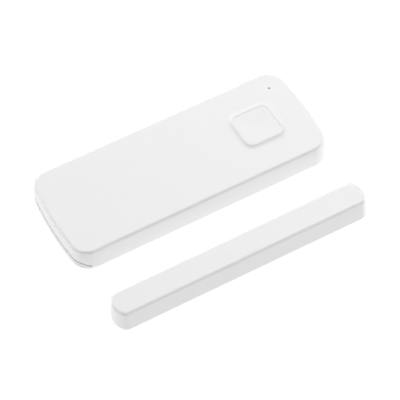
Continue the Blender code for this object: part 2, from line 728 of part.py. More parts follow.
def make_reed_leads(unit):
    """Two leads, each a flat reed inside the glass and a round wire outside, bent down to the board."""
    wire = circle_outline(REED_WIRE_RADIUS, WIRE_STEPS)
    stretch_y = REED_BLADE_HALF_WIDTH / REED_WIRE_RADIUS
    stretch_z = REED_BLADE_HALF_THICKNESS / REED_WIRE_RADIUS
    down = BOARD_SEAT - REED_PLACE[2]
    for name, side in (("reed_lead_left", -1), ("reed_lead_right", 1)):
        blade = [(y * stretch_y, z * stretch_z + side * REED_BLADE_OFFSET) for y, z in wire]
        mitre = [(side * (REED_BEND_X + z), y, z) for y, z in wire]
        foot = [(side * (REED_BEND_X + z), y, down) for y, z in wire]
        rings = [
            across_x(blade, -side * REED_OVERLAP),
            across_x(blade, side * (REED_BORE_HALF_LENGTH - 2 * REED_GLASS_RADIUS)),
            across_x(wire, side * (REED_BORE_HALF_LENGTH - REED_GLASS_RADIUS / 2)),
            mitre,
            foot,
        ]
        solid(name, [rings], "contact_nickel", REED_PLACE, unit)


def make_radio(unit):
    """The radio module's board, and the shield can over its chips."""
    place, size = RADIO_BLOCK
    block("radio_module", size, "board_green", (*place, BOARD_SEAT), unit)
    place, size = SHIELD_BLOCK
    bottom = BOARD_SEAT + RADIO_BLOCK[1][2] + SEAT
    top = bottom + size[2]
    outer = rounded_outline(size[0], size[1], 2 * SHIELD_WALL)
    inner = rounded_outline(size[0] - 2 * SHIELD_WALL, size[1] - 2 * SHIELD_WALL, SHIELD_WALL)
    crown = rounded_outline(size[0] - SHIELD_WALL, size[1] - SHIELD_WALL, 1.5 * SHIELD_WALL)
    rings = [
        ring(inner, top - SHIELD_WALL),
        ring(inner, bottom),
        ring(outer, bottom),
        ring(outer, top - SHIELD_WALL / 2),
        ring(crown, top),
    ]
    solid("shield_can", [rings], "shield_steel", (*place, 0.0), unit)


def make_small_parts(unit):
    for name, (place, size, colour) in SMALL_PARTS.items():
        block(name, size, colour, (*place, BOARD_SEAT), unit)


# Magnet unit


def make_magnet_housing(unit):
    solid("magnet_housing", [shell_rings(MAGNET, MAGNET_WALL, MAGNET_CEILING)], "white_shell", parent=unit)


def make_magnet_back_plate(unit):
    """The magnet unit's back, with a stop at each end of the bar magnet."""
    outline = case_outline(MAGNET, MAGNET_WALL + GAP)
    plate = solid("magnet_back_plate", [straight(outline, CASE_BACK, PLATE_TOP)], "white_inner", parent=unit)
    stop_x = BAR_SIZE[0] / 2 + GAP + STOP_LENGTH / 2
    stop = box_outline(STOP_LENGTH, STOP_WIDTH)
    stops = [straight(stop, PLATE_TOP - EMBED, STOP_TOP, (side * stop_x, 0.0)) for side in (-1, 1)]
    combine(plate, solid("stop_guide", stops, "white_inner", parent=unit), "UNION")
    combine(plate, pad_pocket("magnet_pocket_guide", MAGNET_PAD, unit), "DIFFERENCE")


def make_bar_magnet(unit):
    """The bar magnet on the plate, and the foam that fills the space over it."""
    block("bar_magnet", BAR_SIZE, "magnet_nickel", (0.0, 0.0, BAR_BOTTOM), unit, BAR_BEVEL)
    foam_bottom = BAR_BOTTOM + BAR_SIZE[2] + SEAT
    block("magnet_foam", FOAM_SIZE, "foam_grey", (0.0, 0.0, foam_bottom), unit)


def weight_shading():
    """Shade by face area, so that flat faces stay flat where a cut meets them."""
    for thing in bpy.data.objects:
        if thing.type == "MESH" and not thing.hide_render:
            shading = thing.modifiers.new("face_weighted_shading", "WEIGHTED_NORMAL")
            shading.keep_sharp = True


def make_unit(name, place):
    """The empty that carries one unit's pieces."""
    unit = bpy.data.objects.new(name, None)
    unit.location = [value * MM for value in place]
    bpy.context.scene.collection.objects.link(unit)
    return unit


def main():
    clear_scene()
    sensor = make_unit("sensor_unit", (0.0, 0.0, 0.0))
    make_rear_plate(sensor)
    make_adhesive_pad("sensor_adhesive_pad", SENSOR_PAD, sensor)
    make_front_cover(sensor)
    make_button_cap(sensor)
    make_light_pipe(sensor)
    make_circuit_board(sensor)
    make_board_screws(sensor)
    make_coin_cell(sensor)
    make_cell_contacts(sensor)
    make_switches(sensor)
    make_reed_glass(sensor)
    make_reed_leads(sensor)
    make_radio(sensor)
    make_small_parts(sensor)
    magnet = make_unit("magnet_unit", MAGNET_PLACE)
    make_magnet_housing(magnet)
    make_magnet_back_plate(magnet)
    make_adhesive_pad("magnet_adhesive_pad", MAGNET_PAD, magnet)
    make_bar_magnet(magnet)
    weight_shading()


main()
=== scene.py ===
import math

import bmesh
import bpy
from mathutils import Matrix, Vector


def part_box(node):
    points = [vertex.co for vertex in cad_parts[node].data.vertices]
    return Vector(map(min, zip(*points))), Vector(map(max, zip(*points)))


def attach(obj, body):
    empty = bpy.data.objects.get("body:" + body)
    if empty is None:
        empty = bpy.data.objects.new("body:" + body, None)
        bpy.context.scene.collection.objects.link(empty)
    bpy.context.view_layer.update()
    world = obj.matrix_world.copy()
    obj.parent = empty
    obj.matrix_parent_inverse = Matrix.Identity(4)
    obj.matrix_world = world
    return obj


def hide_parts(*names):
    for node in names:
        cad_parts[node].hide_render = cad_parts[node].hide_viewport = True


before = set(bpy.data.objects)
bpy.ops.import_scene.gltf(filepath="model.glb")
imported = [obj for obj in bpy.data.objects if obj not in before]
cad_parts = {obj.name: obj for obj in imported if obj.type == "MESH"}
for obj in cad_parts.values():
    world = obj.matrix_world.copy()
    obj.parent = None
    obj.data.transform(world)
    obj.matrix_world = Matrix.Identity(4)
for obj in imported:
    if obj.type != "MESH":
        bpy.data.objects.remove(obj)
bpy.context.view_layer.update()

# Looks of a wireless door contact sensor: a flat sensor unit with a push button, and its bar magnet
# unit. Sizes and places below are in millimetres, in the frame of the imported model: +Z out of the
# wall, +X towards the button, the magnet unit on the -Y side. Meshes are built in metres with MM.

MM = 0.001
QUARTER = math.pi / 2

# Fits
GAP = 0.3
SEAT = 0.1
OVERSHOOT = 1.0

# Smoothness of curves
END_STEPS = 14
CORNER_STEPS = 18
ARC_STEPS = 5
BLOCK_STEPS = 2
FOOT_STEPS = 8
ROUND_STEPS = 64
FINE_ROUND_STEPS = 96
SCREW_STEPS = 48
SMALL_ROUND_STEPS = 32
WIRE_STEPS = 16
SHARP_ANGLE = math.radians(38)

# Case plans: length, width, bulge of each end, corner radius
SENSOR = (89.6, 35.3, 1.35, 5.8)
MAGNET = (86.3, 9.1, 2.1, 2.45)
MAGNET_PLACE = (-0.15, -38.0)

# Case sections
CASE_TOP = 8.1
CASE_BACK = 0.2
SENSOR_WALL = 1.2
MAGNET_WALL = 1.0
EDGE_ROUND = 0.9
EDGE_BOTTOM = CASE_TOP - EDGE_ROUND
CASE_DRAFT = 0.4
INNER_ROUND = 0.4
FOOT_SOFT_SIDE = 0.4
FOOT_SOFT_END = 0.15
FOOT_STRETCH = 2.5
PLATE_TOP = 1.4
SENSOR_CEILING = CASE_TOP - SENSOR_WALL
MAGNET_CEILING = CASE_TOP - MAGNET_WALL

# Parting line at the sensor's left end, and the plate's end band under it
PARTING_CENTRE_X = 45.7
PARTING_RUN = 6.2
PARTING_RISE = 2.9
BAND_THICKNESS = 2.1
BAND_TOP = 4.0

# Adhesive pads: length, width, corner
PAD_THICKNESS = 0.5
PAD_POCKET_TOP = 0.8
PAD_FILM = 0.08
SENSOR_PAD = (62.0, 22.0, 3.0)
MAGNET_PAD = (70.0, 4.6, 1.0)

# Button and collar
BUTTON_X = 27.65
BUTTON_PLACE = (BUTTON_X, 0.0)
BUTTON_SIZE = 12.2
BUTTON_CORNER = 2.2
BUTTON_CLEARANCE = 0.05
BUTTON_TOP = 8.47
BUTTON_EDGE = 0.08
BUTTON_LIP = 0.035
BUTTON_LIP_DEPTH = 0.04
BUTTON_DISH = 0.15
BUTTON_SHELL = 1.1
BUTTON_FLANGE = 1.0
BUTTON_FLANGE_TOP = 6.6
BUTTON_FLANGE_BOTTOM = 6.1
BUTTON_STEM_RADIUS = 1.5
BUTTON_STEM_BOTTOM = 6.15
DISH_STEPS = 10
COLLAR_HEIGHT = 0.42
COLLAR_CREST = 0.55
COLLAR_SLOPE = 2.2
COLLAR_HOLLOW = 3
COLLAR_STEPS = 12
COLLAR_APRON = 0.5

# Light, and the peg that presses the cover switch
LIGHT_PLACE = (38.55, 11.3)
LIGHT_HOLE_RADIUS = 0.35
LIGHT_BOSS_INNER = 1.0
LIGHT_BOSS_OUTER = 1.7
LIGHT_BOSS_BOTTOM = 5.5
TAMPER_PEG_RADIUS = 1.2
TAMPER_PEG_BOTTOM = 6.25

# Board, cell, and the parts placed on the board
BOARD_INSET = 2.0
BOARD_BOTTOM = 3.2
BOARD_TOP = 4.2
BOARD_SEAT = BOARD_TOP + SEAT
BOARD_CUTOUT_RADIUS = 11.5
BOARD_HOLE_RADIUS = 1.1
BOARD_LAND_RADIUS = 2.0
PRINT_THICKNESS = 0.03
TRACK_THICKNESS = 0.02
SOLDER_FILM = 0.02
CELL_PLACE = (-24.0, 0.0)
CELL_BOTTOM = 2.1
CELL_TOP = 5.3
BAY_INNER = 10.3
BAY_OUTER = 11.1
BAY_TOP = 4.7
BAY_SLOT_WIDTH = 4.4
SCREW_PLACES = ((-39.0, 8.5), (-39.0, -8.5), (-8.5, 11.5), (34.5, -11.5))
TAB_XS = (-24.0, 4.0, 24.0)
TAMPER_PLACE = (16.5, 11.5)
REED_PLACE = (0.0, -12.9, 5.5)
REED_BEND = 9.4

# Studio: floor and sky brightness, and floor shift, softbox size and distance in metres
FLOOR_GLOW = 1.03
FLOOR_SHIFT = 1.0
SKY_GLOW = 0.1
SOFTBOX_SIZE = 0.6
SOFTBOX_DISTANCE = 1.2

# Camera: its turns in degrees, its offset from the origin along its own axes and its nearest view
# in metres, its lens and sensor in millimetres
CAMERA_AZIMUTH = -26.771
CAMERA_ELEVATION = 53.297
CAMERA_ROLL = -2.726
CAMERA_OFFSET = (0.00600, -0.00750, 0.6012)
CAMERA_LENS = 172.4
CAMERA_SENSOR = 36.0
CAMERA_NEAR = 0.05

# Every material by its name, filled by make_finishes
FINISHES = {}


# Outlines in plan, as lists of (x, y) running anticlockwise


def case_outline(plan, inset=0.0):
    """Straight long sides, gently bulged ends and rounded corners, all moved in by inset."""
    length, width, bulge, corner = plan
    end_radius = ((width / 2) ** 2 + bulge ** 2) / (2 * bulge)
    end_x = length / 2 - end_radius
    corner_y = width / 2 - corner
    corner_x = end_x + math.sqrt((end_radius - corner) ** 2 - corner_y ** 2)
    tangent = math.atan2(corner_y, corner_x - end_x)
    quarter = []
    for step in range(END_STEPS):
        angle = tangent * step / END_STEPS
        reach = end_radius - inset
        quarter.append((end_x + reach * math.cos(angle), reach * math.sin(angle)))
    for step in range(CORNER_STEPS + 1):
        angle = tangent + (QUARTER - tangent) * step / CORNER_STEPS
        reach = corner - inset
        quarter.append((corner_x + reach * math.cos(angle), corner_y + reach * math.sin(angle)))
    far_side = quarter + [(-x, y) for x, y in reversed(quarter)]
    return far_side + [(x, -y) for x, y in reversed(far_side[1:-1])]


def rounded_outline(length, width, corner, steps=CORNER_STEPS):
    """A rectangle with rounded corners, centred on the origin."""
    points = []
    for quadrant in range(4):
        sign_x = 1 if quadrant in (0, 3) else -1
        sign_y = 1 if quadrant in (0, 1) else -1
        for step in range(steps + 1):
            angle = (quadrant + step / steps) * QUARTER
            points.append((
                sign_x * (length / 2 - corner) + corner * math.cos(angle),
                sign_y * (width / 2 - corner) + corner * math.sin(angle),
            ))
    return points


def circle_outline(radius, steps=ROUND_STEPS):
    turns = [2 * math.pi * step / steps for step in range(steps)]
    return [(radius * math.cos(turn), radius * math.sin(turn)) for turn in turns]


def cross_outline(arm, half_width, steps):
    """A plus-shaped outline, as the distance from its middle in each direction."""
    points = []
    for step in range(steps):
        turn = 2 * math.pi * step / steps
        across = max(abs(math.cos(turn)), half_width / arm)
        along = max(abs(math.sin(turn)), half_width / arm)
        reach = max(min(arm / across, half_width / along), min(arm / along, half_width / across))
        points.append((reach * math.cos(turn), reach * math.sin(turn)))
    return points


def ring(outline, z, centre=(0.0, 0.0)):
    return [(x + centre[0], y + centre[1], z) for x, y in outline]


def middle(low, high):
    return ((low[0] + high[0]) / 2, (low[1] + high[1]) / 2)


def turned_rings(profile, centre, steps=SMALL_ROUND_STEPS):
    """Level circles about a vertical axis, from (radius, z) points."""
    return [ring(circle_outline(radius, steps), z, centre) for radius, z in profile]


def case_rings(plan, profile, centre=(0.0, 0.0)):
    """Level rings of a case's outline, from (inset, z) points."""
    return [ring(case_outline(plan, inset), z, centre) for inset, z in profile]


def box_rings(size, corner, profile, centre=(0.0, 0.0), steps=CORNER_STEPS, least=0.0):
    """Level rings of a rounded rectangle, from (inset, z) points."""
    rings = []
    for inset, z in profile:
        rounding = max(corner - inset, least)
        outline = rounded_outline(size[0] - 2 * inset, size[1] - 2 * inset, rounding, steps)
        rings.append(ring(outline, z, centre))
    return rings


def fillet(corners, steps=ARC_STEPS):
    """A profile of (u, v) points: each corner is (u, v, radius), rounded by a true arc."""
    points = [tuple(corners[0][:2])]
    for before, corner, after in zip(corners, corners[1:], corners[2:]):
        here = Vector(corner[:2])
        back = (Vector(before[:2]) - here).normalized()
        ahead = (Vector(after[:2]) - here).normalized()
        half = back.angle(ahead) / 2
        radius = corner[2]
        if radius == 0:
            points.append(tuple(here))
            continue
        centre = here + (back + ahead).normalized() * (radius / math.sin(half))
        first = here + back * (radius / math.tan(half)) - centre
        last = here + ahead * (radius / math.tan(half)) - centre
        sweep = math.pi - 2 * half
        for step in range(steps + 1):
            share = step / steps
            spoke = first * math.sin((1 - share) * sweep) + last * math.sin(share * sweep)
            points.append(tuple(centre + spoke / math.sin(sweep)))
    points.append(tuple(corners[-1][:2]))
    return points


def slab_profile(bottom, top, soft, reach, steps):
    """The (inset, z) edge of a slab with softened rims, which ends at reach on both faces."""
    return fillet([(reach, bottom, 0), (0, bottom, soft), (0, top, soft), (reach, top, 0)], steps)


# Meshes


def add_rows(mesh, rings):
    return [[mesh.verts.new([value * MM for value in point]) for point in points] for points in rings]


def bridge(mesh, rows, material=0, close=False):
    """Faces between neighbouring rows with equal point counts."""
    pairs = list(zip(rows, rows[1:]))
    if close:
        pairs.append((rows[-1], rows[0]))
    count = len(rows[0])
    for lower, upper in pairs:
        for index in range(count):
            after = (index + 1) % count
            face = mesh.faces.new((lower[index], lower[after], upper[after], upper[index]))
            face.material_index = material


def fill(mesh, rows):
    """A flat face inside the first row, with a hole for each other row."""
    edges = []
    for row in rows:
        for first, second in zip(row, row[1:] + row[:1]):
            edges.append(mesh.edges.get((first, second)) or mesh.edges.new((first, second)))
    bmesh.ops.triangle_fill(mesh, use_beauty=True, edges=edges)


def add_walls(mesh, rings):
    """Open walls through rings."""
    rows = add_rows(mesh, rings)
    bridge(mesh, rows)
    return rows


def add_solid(mesh, rings, material=0, bands=None, close=False):
    """A closed solid through rings. bands gives single bands a material of their own."""
    rows = add_rows(mesh, rings)
    if close:
        bridge(mesh, rows, material, close=True)
        return
    for index, pair in enumerate(zip(rows, rows[1:])):
        bridge(mesh, pair, (bands or {}).get(index, material))
    for row in (rows[0], rows[-1]):
        mesh.faces.new(row).material_index = material


def add_block(mesh, low, high, soft, material=0):
    """A box with softened edges between two corners."""
    soft = min(soft, (high[2] - low[2]) / 2.5)
    size = (high[0] - low[0], high[1] - low[1])
    profile = slab_profile(low[2], high[2], soft, 2 * soft, 2)
    rings = box_rings(size, 1.5 * soft, profile, middle(low, high), BLOCK_STEPS, soft / 4)
    add_solid(mesh, rings, material)


def add_terminal(mesh, place, half, top, soft, material=0):
    """A block that stands on the board's solder, half as long and wide as half each way."""
    low = (place[0] - half[0], place[1] - half[1], BOARD_TOP + SOLDER_FILM)
    add_block(mesh, low, (place[0] + half[0], place[1] + half[1], top), soft, material)


def add_tube(mesh, path, sections):
    """A bar along (x, y, z) points at one y; each section is (y, across) points."""
    rings = []
    for index, ((x, y, z), section) in enumerate(zip(path, sections)):
        before = path[max(index - 1, 0)]
        after = path[min(index + 1, len(path) - 1)]
        run = Vector((after[0] - before[0], after[2] - before[2])).normalized()
        rings.append([(x - run.y * up, y + side, z + run.x * up) for side, up in section])
    add_solid(mesh, rings)


def add_ribbon(mesh, path, width, bottom, top):
    """A flat strip of even width along a path of (x, y) points, with mitred turns."""
    rings = []
    for index, point in enumerate(path):
        before = Vector(path[max(index - 1, 0)])
        after = Vector(path[min(index + 1, len(path) - 1)])
        here = Vector(point)
        first = (here - before).normalized() if index else (after - here).normalized()
        second = (after - here).normalized() if index < len(path) - 1 else first
        along = (first + second).normalized()
        across = Vector((-along.y, along.x)) * (width / 2 / max(along.dot(first), 0.5))
        left, right = here + across, here - across
        rings.append([(*left, bottom), (*right, bottom), (*right, top), (*left, top)])
    add_solid(mesh, rings)


def make_object(name, mesh, finishes=()):
    """An object from a bmesh, with its finishes given by name."""
    bmesh.ops.recalc_face_normals(mesh, faces=mesh.faces)
    data = bpy.data.meshes.new(name)
    mesh.to_mesh(data)
    mesh.free()
    for finish in finishes:
        data.materials.append(FINISHES[finish])
    made = bpy.data.objects.new(name, data)
    bpy.context.scene.collection.objects.link(made)
    return made


def add_piece(name, mesh, finishes, *nodes, slot=None, body="sensor_base"):
    """A finished piece that rides on a body and stands for the CAD nodes named."""
    place_piece(make_object(name, mesh, finishes), slot or finishes[0], *nodes, body=body)


def add_plain_piece(name, rings, finishes, *nodes, bands=None, close=False, **riding):
    """A piece that is one solid through rings."""
    mesh = bmesh.new()
    add_solid(mesh, rings, bands=bands, close=close)
    add_piece(name, mesh, finishes, *nodes, **riding)


def place_piece(made, slot, *nodes, body="sensor_base"):
    made.data.shade_smooth()
    made.data.set_sharp_from_angle(angle=SHARP_ANGLE)
    weighting = made.modifiers.new("face_weighted_shading", "WEIGHTED_NORMAL")
    weighting.keep_sharp = True
    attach(made, body)
    if nodes:
        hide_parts(*nodes)


def combine(target, tool, operation="UNION"):
    """Boolean one object with another, at once; the other is used up."""
    joint = target.modifiers.new("combine", "BOOLEAN")
    joint.operation = operation
    joint.solver = "EXACT"
    joint.object = tool
    graph = bpy.context.evaluated_depsgraph_get()
    settled = bpy.data.meshes.new_from_object(target.evaluated_get(graph))
    target.modifiers.clear()
    target.data = settled
    bpy.data.objects.remove(tool)


# Materials. Feature sizes are in millimetres.


def add_noise(tree, vector, feature):
    noise = tree.nodes.new("ShaderNodeTexNoise")
    noise.inputs["Scale"].default_value = 1 / (feature * MM)
    noise.inputs["Detail"].default_value = 3.0
    tree.links.new(vector, noise.inputs["Vector"])
    return noise.outputs["Fac"]


def mix_colours(tree, factor, first, second):
    """A mix of two colours, each a tuple or another node's output."""
    mix = tree.nodes.new("ShaderNodeMix")
    mix.data_type = "RGBA"
    tree.links.new(factor, mix.inputs[0])
    for index, colour in ((6, first), (7, second)):
        if isinstance(colour, tuple):
            mix.inputs[index].default_value = (*colour, 1.0)
        else:
            tree.links.new(colour, mix.inputs[index])
    return mix.outputs[2]


def remap(tree, value, low, high, from_low, from_high):
    node = tree.nodes.new("ShaderNodeMapRange")
    node.inputs["From Min"].default_value = from_low
    node.inputs["From Max"].default_value = from_high
    node.inputs["To Min"].default_value = low
    node.inputs["To Max"].default_value = high
    tree.links.new(value, node.inputs["Value"])
    return node.outputs["Result"]


def stretched_place(tree, stretch):
    """The surface point in the model's frame, stretched along its axes for drawn or brushed marks."""
    place = tree.nodes.new("ShaderNodeTexCoord")
    mapping = tree.nodes.new("ShaderNodeMapping")
    mapping.inputs["Scale"].default_value = stretch
    tree.links.new(place.outputs["Object"], mapping.inputs["Vector"])
    return mapping.outputs["Vector"]


def add_finish(
    name, colour, shade, roughness, mottle=6.0, grain=0.2, spread=0.08, relief=0.25, depth=0.02,
    wear=None, stretch=(1.0, 1.0, 1.0), **sockets,
):
    """A Principled material: mottled colour, grain in its roughness and relief, and worn edges."""
    made = bpy.data.materials.new(name)
    made.use_nodes = True
    tree = made.node_tree
    shader = tree.nodes["Principled BSDF"]
    place = stretched_place(tree, stretch)
    base = mix_colours(tree, add_noise(tree, place, mottle), colour, shade)
    grains = add_noise(tree, place, grain)
    if wear:
        geometry = tree.nodes.new("ShaderNodeNewGeometry")
        edge = remap(tree, geometry.outputs["Pointiness"], 0.0, 1.0, 0.52, 0.62)
        base = mix_colours(tree, edge, base, wear)
    tree.links.new(base, shader.inputs["Base Color"])
    rough = remap(tree, grains, roughness - spread, roughness + spread, 0.3, 0.7)
    tree.links.new(rough, shader.inputs["Roughness"])
    bump = tree.nodes.new("ShaderNodeBump")
    bump.inputs["Strength"].default_value = relief
    bump.inputs["Distance"].default_value = depth * MM
    tree.links.new(grains, bump.inputs["Height"])
    tree.links.new(bump.outputs["Normal"], shader.inputs["Normal"])
    for socket, value in sockets.items():
        shader.inputs[socket.replace("_", " ")].default_value = value
    FINISHES[name] = made
    return tree, shader


def make_finishes():
    """Every finish of the two units."""
    add_finish("white_shell", (0.875, 0.875, 0.875), (0.862, 0.862, 0.864), 0.42, mottle=9.0,
               grain=0.14, relief=0.12, depth=0.012, wear=(0.89, 0.89, 0.89))
    add_finish("white_inner", (0.84, 0.84, 0.835), (0.81, 0.81, 0.80), 0.48, mottle=7.0, grain=0.3)
    add_finish("clear_pipe", (0.92, 0.95, 0.96), (0.86, 0.90, 0.92), 0.08, spread=0.03, relief=0.05,
               Transmission_Weight=0.9, IOR=1.49)
    add_finish("board_edge", (0.45, 0.47, 0.22), (0.36, 0.38, 0.16), 0.65, mottle=0.8,
               stretch=(1.0, 1.0, 6.0))
    add_finish("board_track", (0.03, 0.27, 0.11), (0.025, 0.22, 0.09), 0.32, mottle=2.0, grain=0.3)
    add_finish("board_print", (0.82, 0.83, 0.80), (0.70, 0.71, 0.68), 0.55, mottle=0.6, grain=0.08)
    add_finish("tin", (0.72, 0.71, 0.68), (0.58, 0.57, 0.54), 0.30, mottle=0.7, grain=0.12,
               relief=0.35, Metallic=1.0)
    add_finish("cell_steel", (0.64, 0.64, 0.62), (0.56, 0.56, 0.54), 0.27, mottle=2.5, grain=0.12,
               wear=(0.74, 0.73, 0.70), stretch=(1.0, 9.0, 1.0), Metallic=1.0)
    add_finish("cell_gasket", (0.12, 0.13, 0.15), (0.08, 0.09, 0.11), 0.5, mottle=1.0)
    add_finish("contact_nickel", (0.68, 0.64, 0.54), (0.58, 0.54, 0.45), 0.28, mottle=1.5, grain=0.1,
               wear=(0.76, 0.73, 0.66), stretch=(1.0, 8.0, 1.0), Metallic=1.0)
    add_finish("screw_steel", (0.46, 0.46, 0.47), (0.36, 0.36, 0.38), 0.33, mottle=0.6, grain=0.08,
               wear=(0.66, 0.66, 0.66), Metallic=1.0)
    add_finish("shield_steel", (0.64, 0.64, 0.62), (0.54, 0.54, 0.52), 0.33, mottle=2.0, grain=0.15,
               wear=(0.74, 0.73, 0.70), stretch=(1.0, 5.0, 1.0), Metallic=1.0)
    add_finish("ceramic", (0.82, 0.80, 0.74), (0.74, 0.72, 0.66), 0.5, mottle=0.8, grain=0.1)
    add_finish("led_body", (0.86, 0.86, 0.83), (0.80, 0.80, 0.77), 0.45, mottle=0.5, grain=0.1)
    add_finish("led_lens", (0.80, 0.70, 0.22), (0.72, 0.60, 0.16), 0.2, mottle=0.3, grain=0.08,
               Coat_Weight=0.6)
    add_finish("chip_black", (0.022, 0.022, 0.023), (0.035, 0.035, 0.036), 0.5, mottle=0.7,
               grain=0.06, relief=0.5, wear=(0.07, 0.07, 0.07))
    add_finish("capacitor_tan", (0.42, 0.28, 0.15), (0.33, 0.21, 0.11), 0.45, mottle=0.5, grain=0.08)
    add_finish("switch_black", (0.03, 0.03, 0.031), (0.045, 0.045, 0.046), 0.5, mottle=1.2,
               grain=0.1, relief=0.4, wear=(0.09, 0.09, 0.09))
    add_finish("plunger_brown", (0.20, 0.10, 0.05), (0.15, 0.075, 0.035), 0.45, mottle=0.8,
               grain=0.1)
    add_finish("reed_glass", (0.62, 0.86, 0.72), (0.52, 0.78, 0.62), 0.05, spread=0.03, relief=0.05,
               Transmission_Weight=0.95, IOR=1.47)
    add_finish("foam_grey", (0.13, 0.13, 0.13), (0.08, 0.08, 0.08), 0.92, spread=0.05, mottle=0.5,
               grain=0.22, relief=0.9, depth=0.12)
    add_finish("tape_film", (0.74, 0.74, 0.72), (0.66, 0.66, 0.64), 0.55, mottle=3.0, grain=0.25)
    add_finish("foam_tape", (0.76, 0.76, 0.74), (0.62, 0.62, 0.60), 0.9, spread=0.05, mottle=0.5,
               grain=0.18, relief=0.8, depth=0.08)
    add_finish("magnet_nickel", (0.52, 0.52, 0.51), (0.42, 0.42, 0.41), 0.24, mottle=2.0, grain=0.25,
               relief=0.3, wear=(0.68, 0.67, 0.64), Metallic=1.0)
    add_board_finish()


def add_board_finish():
    """Solder mask over copper pours: broad lighter fields, a fine weave, and a glossy skin."""
    tree, shader = add_finish(
        "board_green", (0.018, 0.15, 0.062), (0.024, 0.19, 0.08), 0.36, mottle=5.0, grain=0.25,
        relief=0.2, Coat_Weight=0.3,
    )
    weave = tree.nodes.new("ShaderNodeTexBrick")
    weave.inputs["Scale"].default_value = 1 / (2.4 * MM)
    weave.inputs["Mortar Size"].default_value = 0.045
    for socket, level in (("Color1", 0.0), ("Color2", 0.0), ("Mortar", 1.0)):
        weave.inputs[socket].default_value = (level, level, level, 1.0)
    tree.links.new(stretched_place(tree, (1.0, 1.0, 0.0)), weave.inputs["Vector"])
    plain = shader.inputs["Base Color"].links[0].from_socket
    tracks = mix_colours(tree, weave.outputs["Fac"], plain, (0.03, 0.24, 0.10))
    tree.links.new(tracks, shader.inputs["Base Color"])


# Sensor unit


def parting_height(x):
    """Height of the parting line at x: it climbs over the plate's end band on the left."""
    reach = (-x - PARTING_CENTRE_X) / PARTING_RUN
    if abs(reach) >= 1:
        return CASE_BACK
    return CASE_BACK + PARTING_RISE * math.sqrt(1 - reach ** 2)


def wall_inset(z):
    """How far the drafted wall stands in from the top's outline at height z, less than nothing."""
    return -CASE_DRAFT * (EDGE_BOTTOM - z) / (EDGE_BOTTOM - CASE_BACK)


def foot_ring(turn):
    """One ring of the skirt's softened foot, from its underside, turn 0, to its side, a quarter turn."""
    points = []
    for (x_out, y_out), (x_in, y_in) in zip(case_outline(SENSOR), case_outline(SENSOR, 1.0)):
        foot = parting_height(x_out)
        lift = min(foot - CASE_BACK, 1.0)
        soft = FOOT_SOFT_SIDE + (FOOT_SOFT_END - FOOT_SOFT_SIDE) * lift
        rise = FOOT_STRETCH * soft * (1 - math.cos(turn))
        inset = soft * (1 - math.sin(turn)) + wall_inset(foot + rise)
        x = x_out + inset * (x_in - x_out)
        y = y_out + inset * (y_in - y_out)
        points.append((x, y, parting_height(x) + rise))
    return points


def foot_profile():
    """The softened foot of a drafted wall as (inset, z) points, from the back up."""
    points = []
    for turn in quarter_turns():
        z = CASE_BACK + FOOT_STRETCH * FOOT_SOFT_SIDE * (1 - math.cos(turn))
        points.append((wall_inset(z) + FOOT_SOFT_SIDE * (1 - math.sin(turn)), z))
    return points


def quarter_turns():
    return [QUARTER * step / FOOT_STEPS for step in range(FOOT_STEPS + 1)]


def top_edge():
    """The rounded top edge as (inset, z) points, ending a little way in on the flat face."""
    arc = fillet([(0, CASE_BACK, 0), (0, CASE_TOP, EDGE_ROUND), (EDGE_ROUND + 0.6, CASE_TOP, 0)], 12)
    return arc[1:]


def make_front_cover():
    """The shell with its skirt, the collar, the light's hole and boss, and the tamper peg."""
    mesh = bmesh.new()
    inner = fillet([
        (SENSOR_WALL + 1.0, SENSOR_CEILING, 0),
        (SENSOR_WALL, SENSOR_CEILING, INNER_ROUND),
        (SENSOR_WALL, SENSOR_CEILING - 1.0, 0),
    ])
    rings = case_rings(SENSOR, inner)
    rings.append([(x, y, parting_height(x)) for x, y in case_outline(SENSOR, SENSOR_WALL)])
    rings += [foot_ring(turn) for turn in quarter_turns()]
    rings += case_rings(SENSOR, top_edge())
    shell = add_walls(mesh, rings)
    collar = add_walls(mesh, collar_rings())
    light_profile = fillet([
        (LIGHT_HOLE_RADIUS + 0.4, CASE_TOP, 0),
        (LIGHT_HOLE_RADIUS, CASE_TOP, 0.06),
        (LIGHT_HOLE_RADIUS, SENSOR_CEILING, 0),
        (LIGHT_BOSS_INNER, SENSOR_CEILING, 0),
        (LIGHT_BOSS_INNER, LIGHT_BOSS_BOTTOM, 0.1),
        (LIGHT_BOSS_OUTER, LIGHT_BOSS_BOTTOM, 0.1),
        (LIGHT_BOSS_OUTER, SENSOR_CEILING, 0),
    ])
    light = add_walls(mesh, turned_rings(light_profile, LIGHT_PLACE))
    peg_profile = fillet([
        (TAMPER_PEG_RADIUS / 2, TAMPER_PEG_BOTTOM, 0),
        (TAMPER_PEG_RADIUS, TAMPER_PEG_BOTTOM, 0.15),
        (TAMPER_PEG_RADIUS, SENSOR_CEILING, 0),
    ])
    peg = add_walls(mesh, turned_rings(peg_profile, TAMPER_PLACE))
    mesh.faces.new(peg[0])
    fill(mesh, [shell[-1], collar[0], light[0]])
    fill(mesh, [shell[0], collar[-1], light[-1], peg[-1]])
    add_piece("cover_moulding", mesh, ["white_shell"], "front_cover", body="cover")


def collar_rings():
    """From the flat face up the hollow slope, over the crest and down the button opening."""
    opening = BUTTON_SIZE + 2 * BUTTON_CLEARANCE
    foot = COLLAR_CREST + COLLAR_SLOPE
    corners = [(-foot - COLLAR_APRON, CASE_TOP, 0)]
    for step in range(COLLAR_STEPS):
        share = step / COLLAR_STEPS
        height = COLLAR_HEIGHT * share ** COLLAR_HOLLOW
        corners.append((COLLAR_SLOPE * share - foot, CASE_TOP + height, 0))
    crest = CASE_TOP + COLLAR_HEIGHT
    corners += [(-COLLAR_CREST, crest, 0.2), (0, crest, 0.05), (0, SENSOR_CEILING, 0)]
    corner = BUTTON_CORNER + BUTTON_CLEARANCE
    return box_rings((opening, opening), corner, fillet(corners), BUTTON_PLACE)


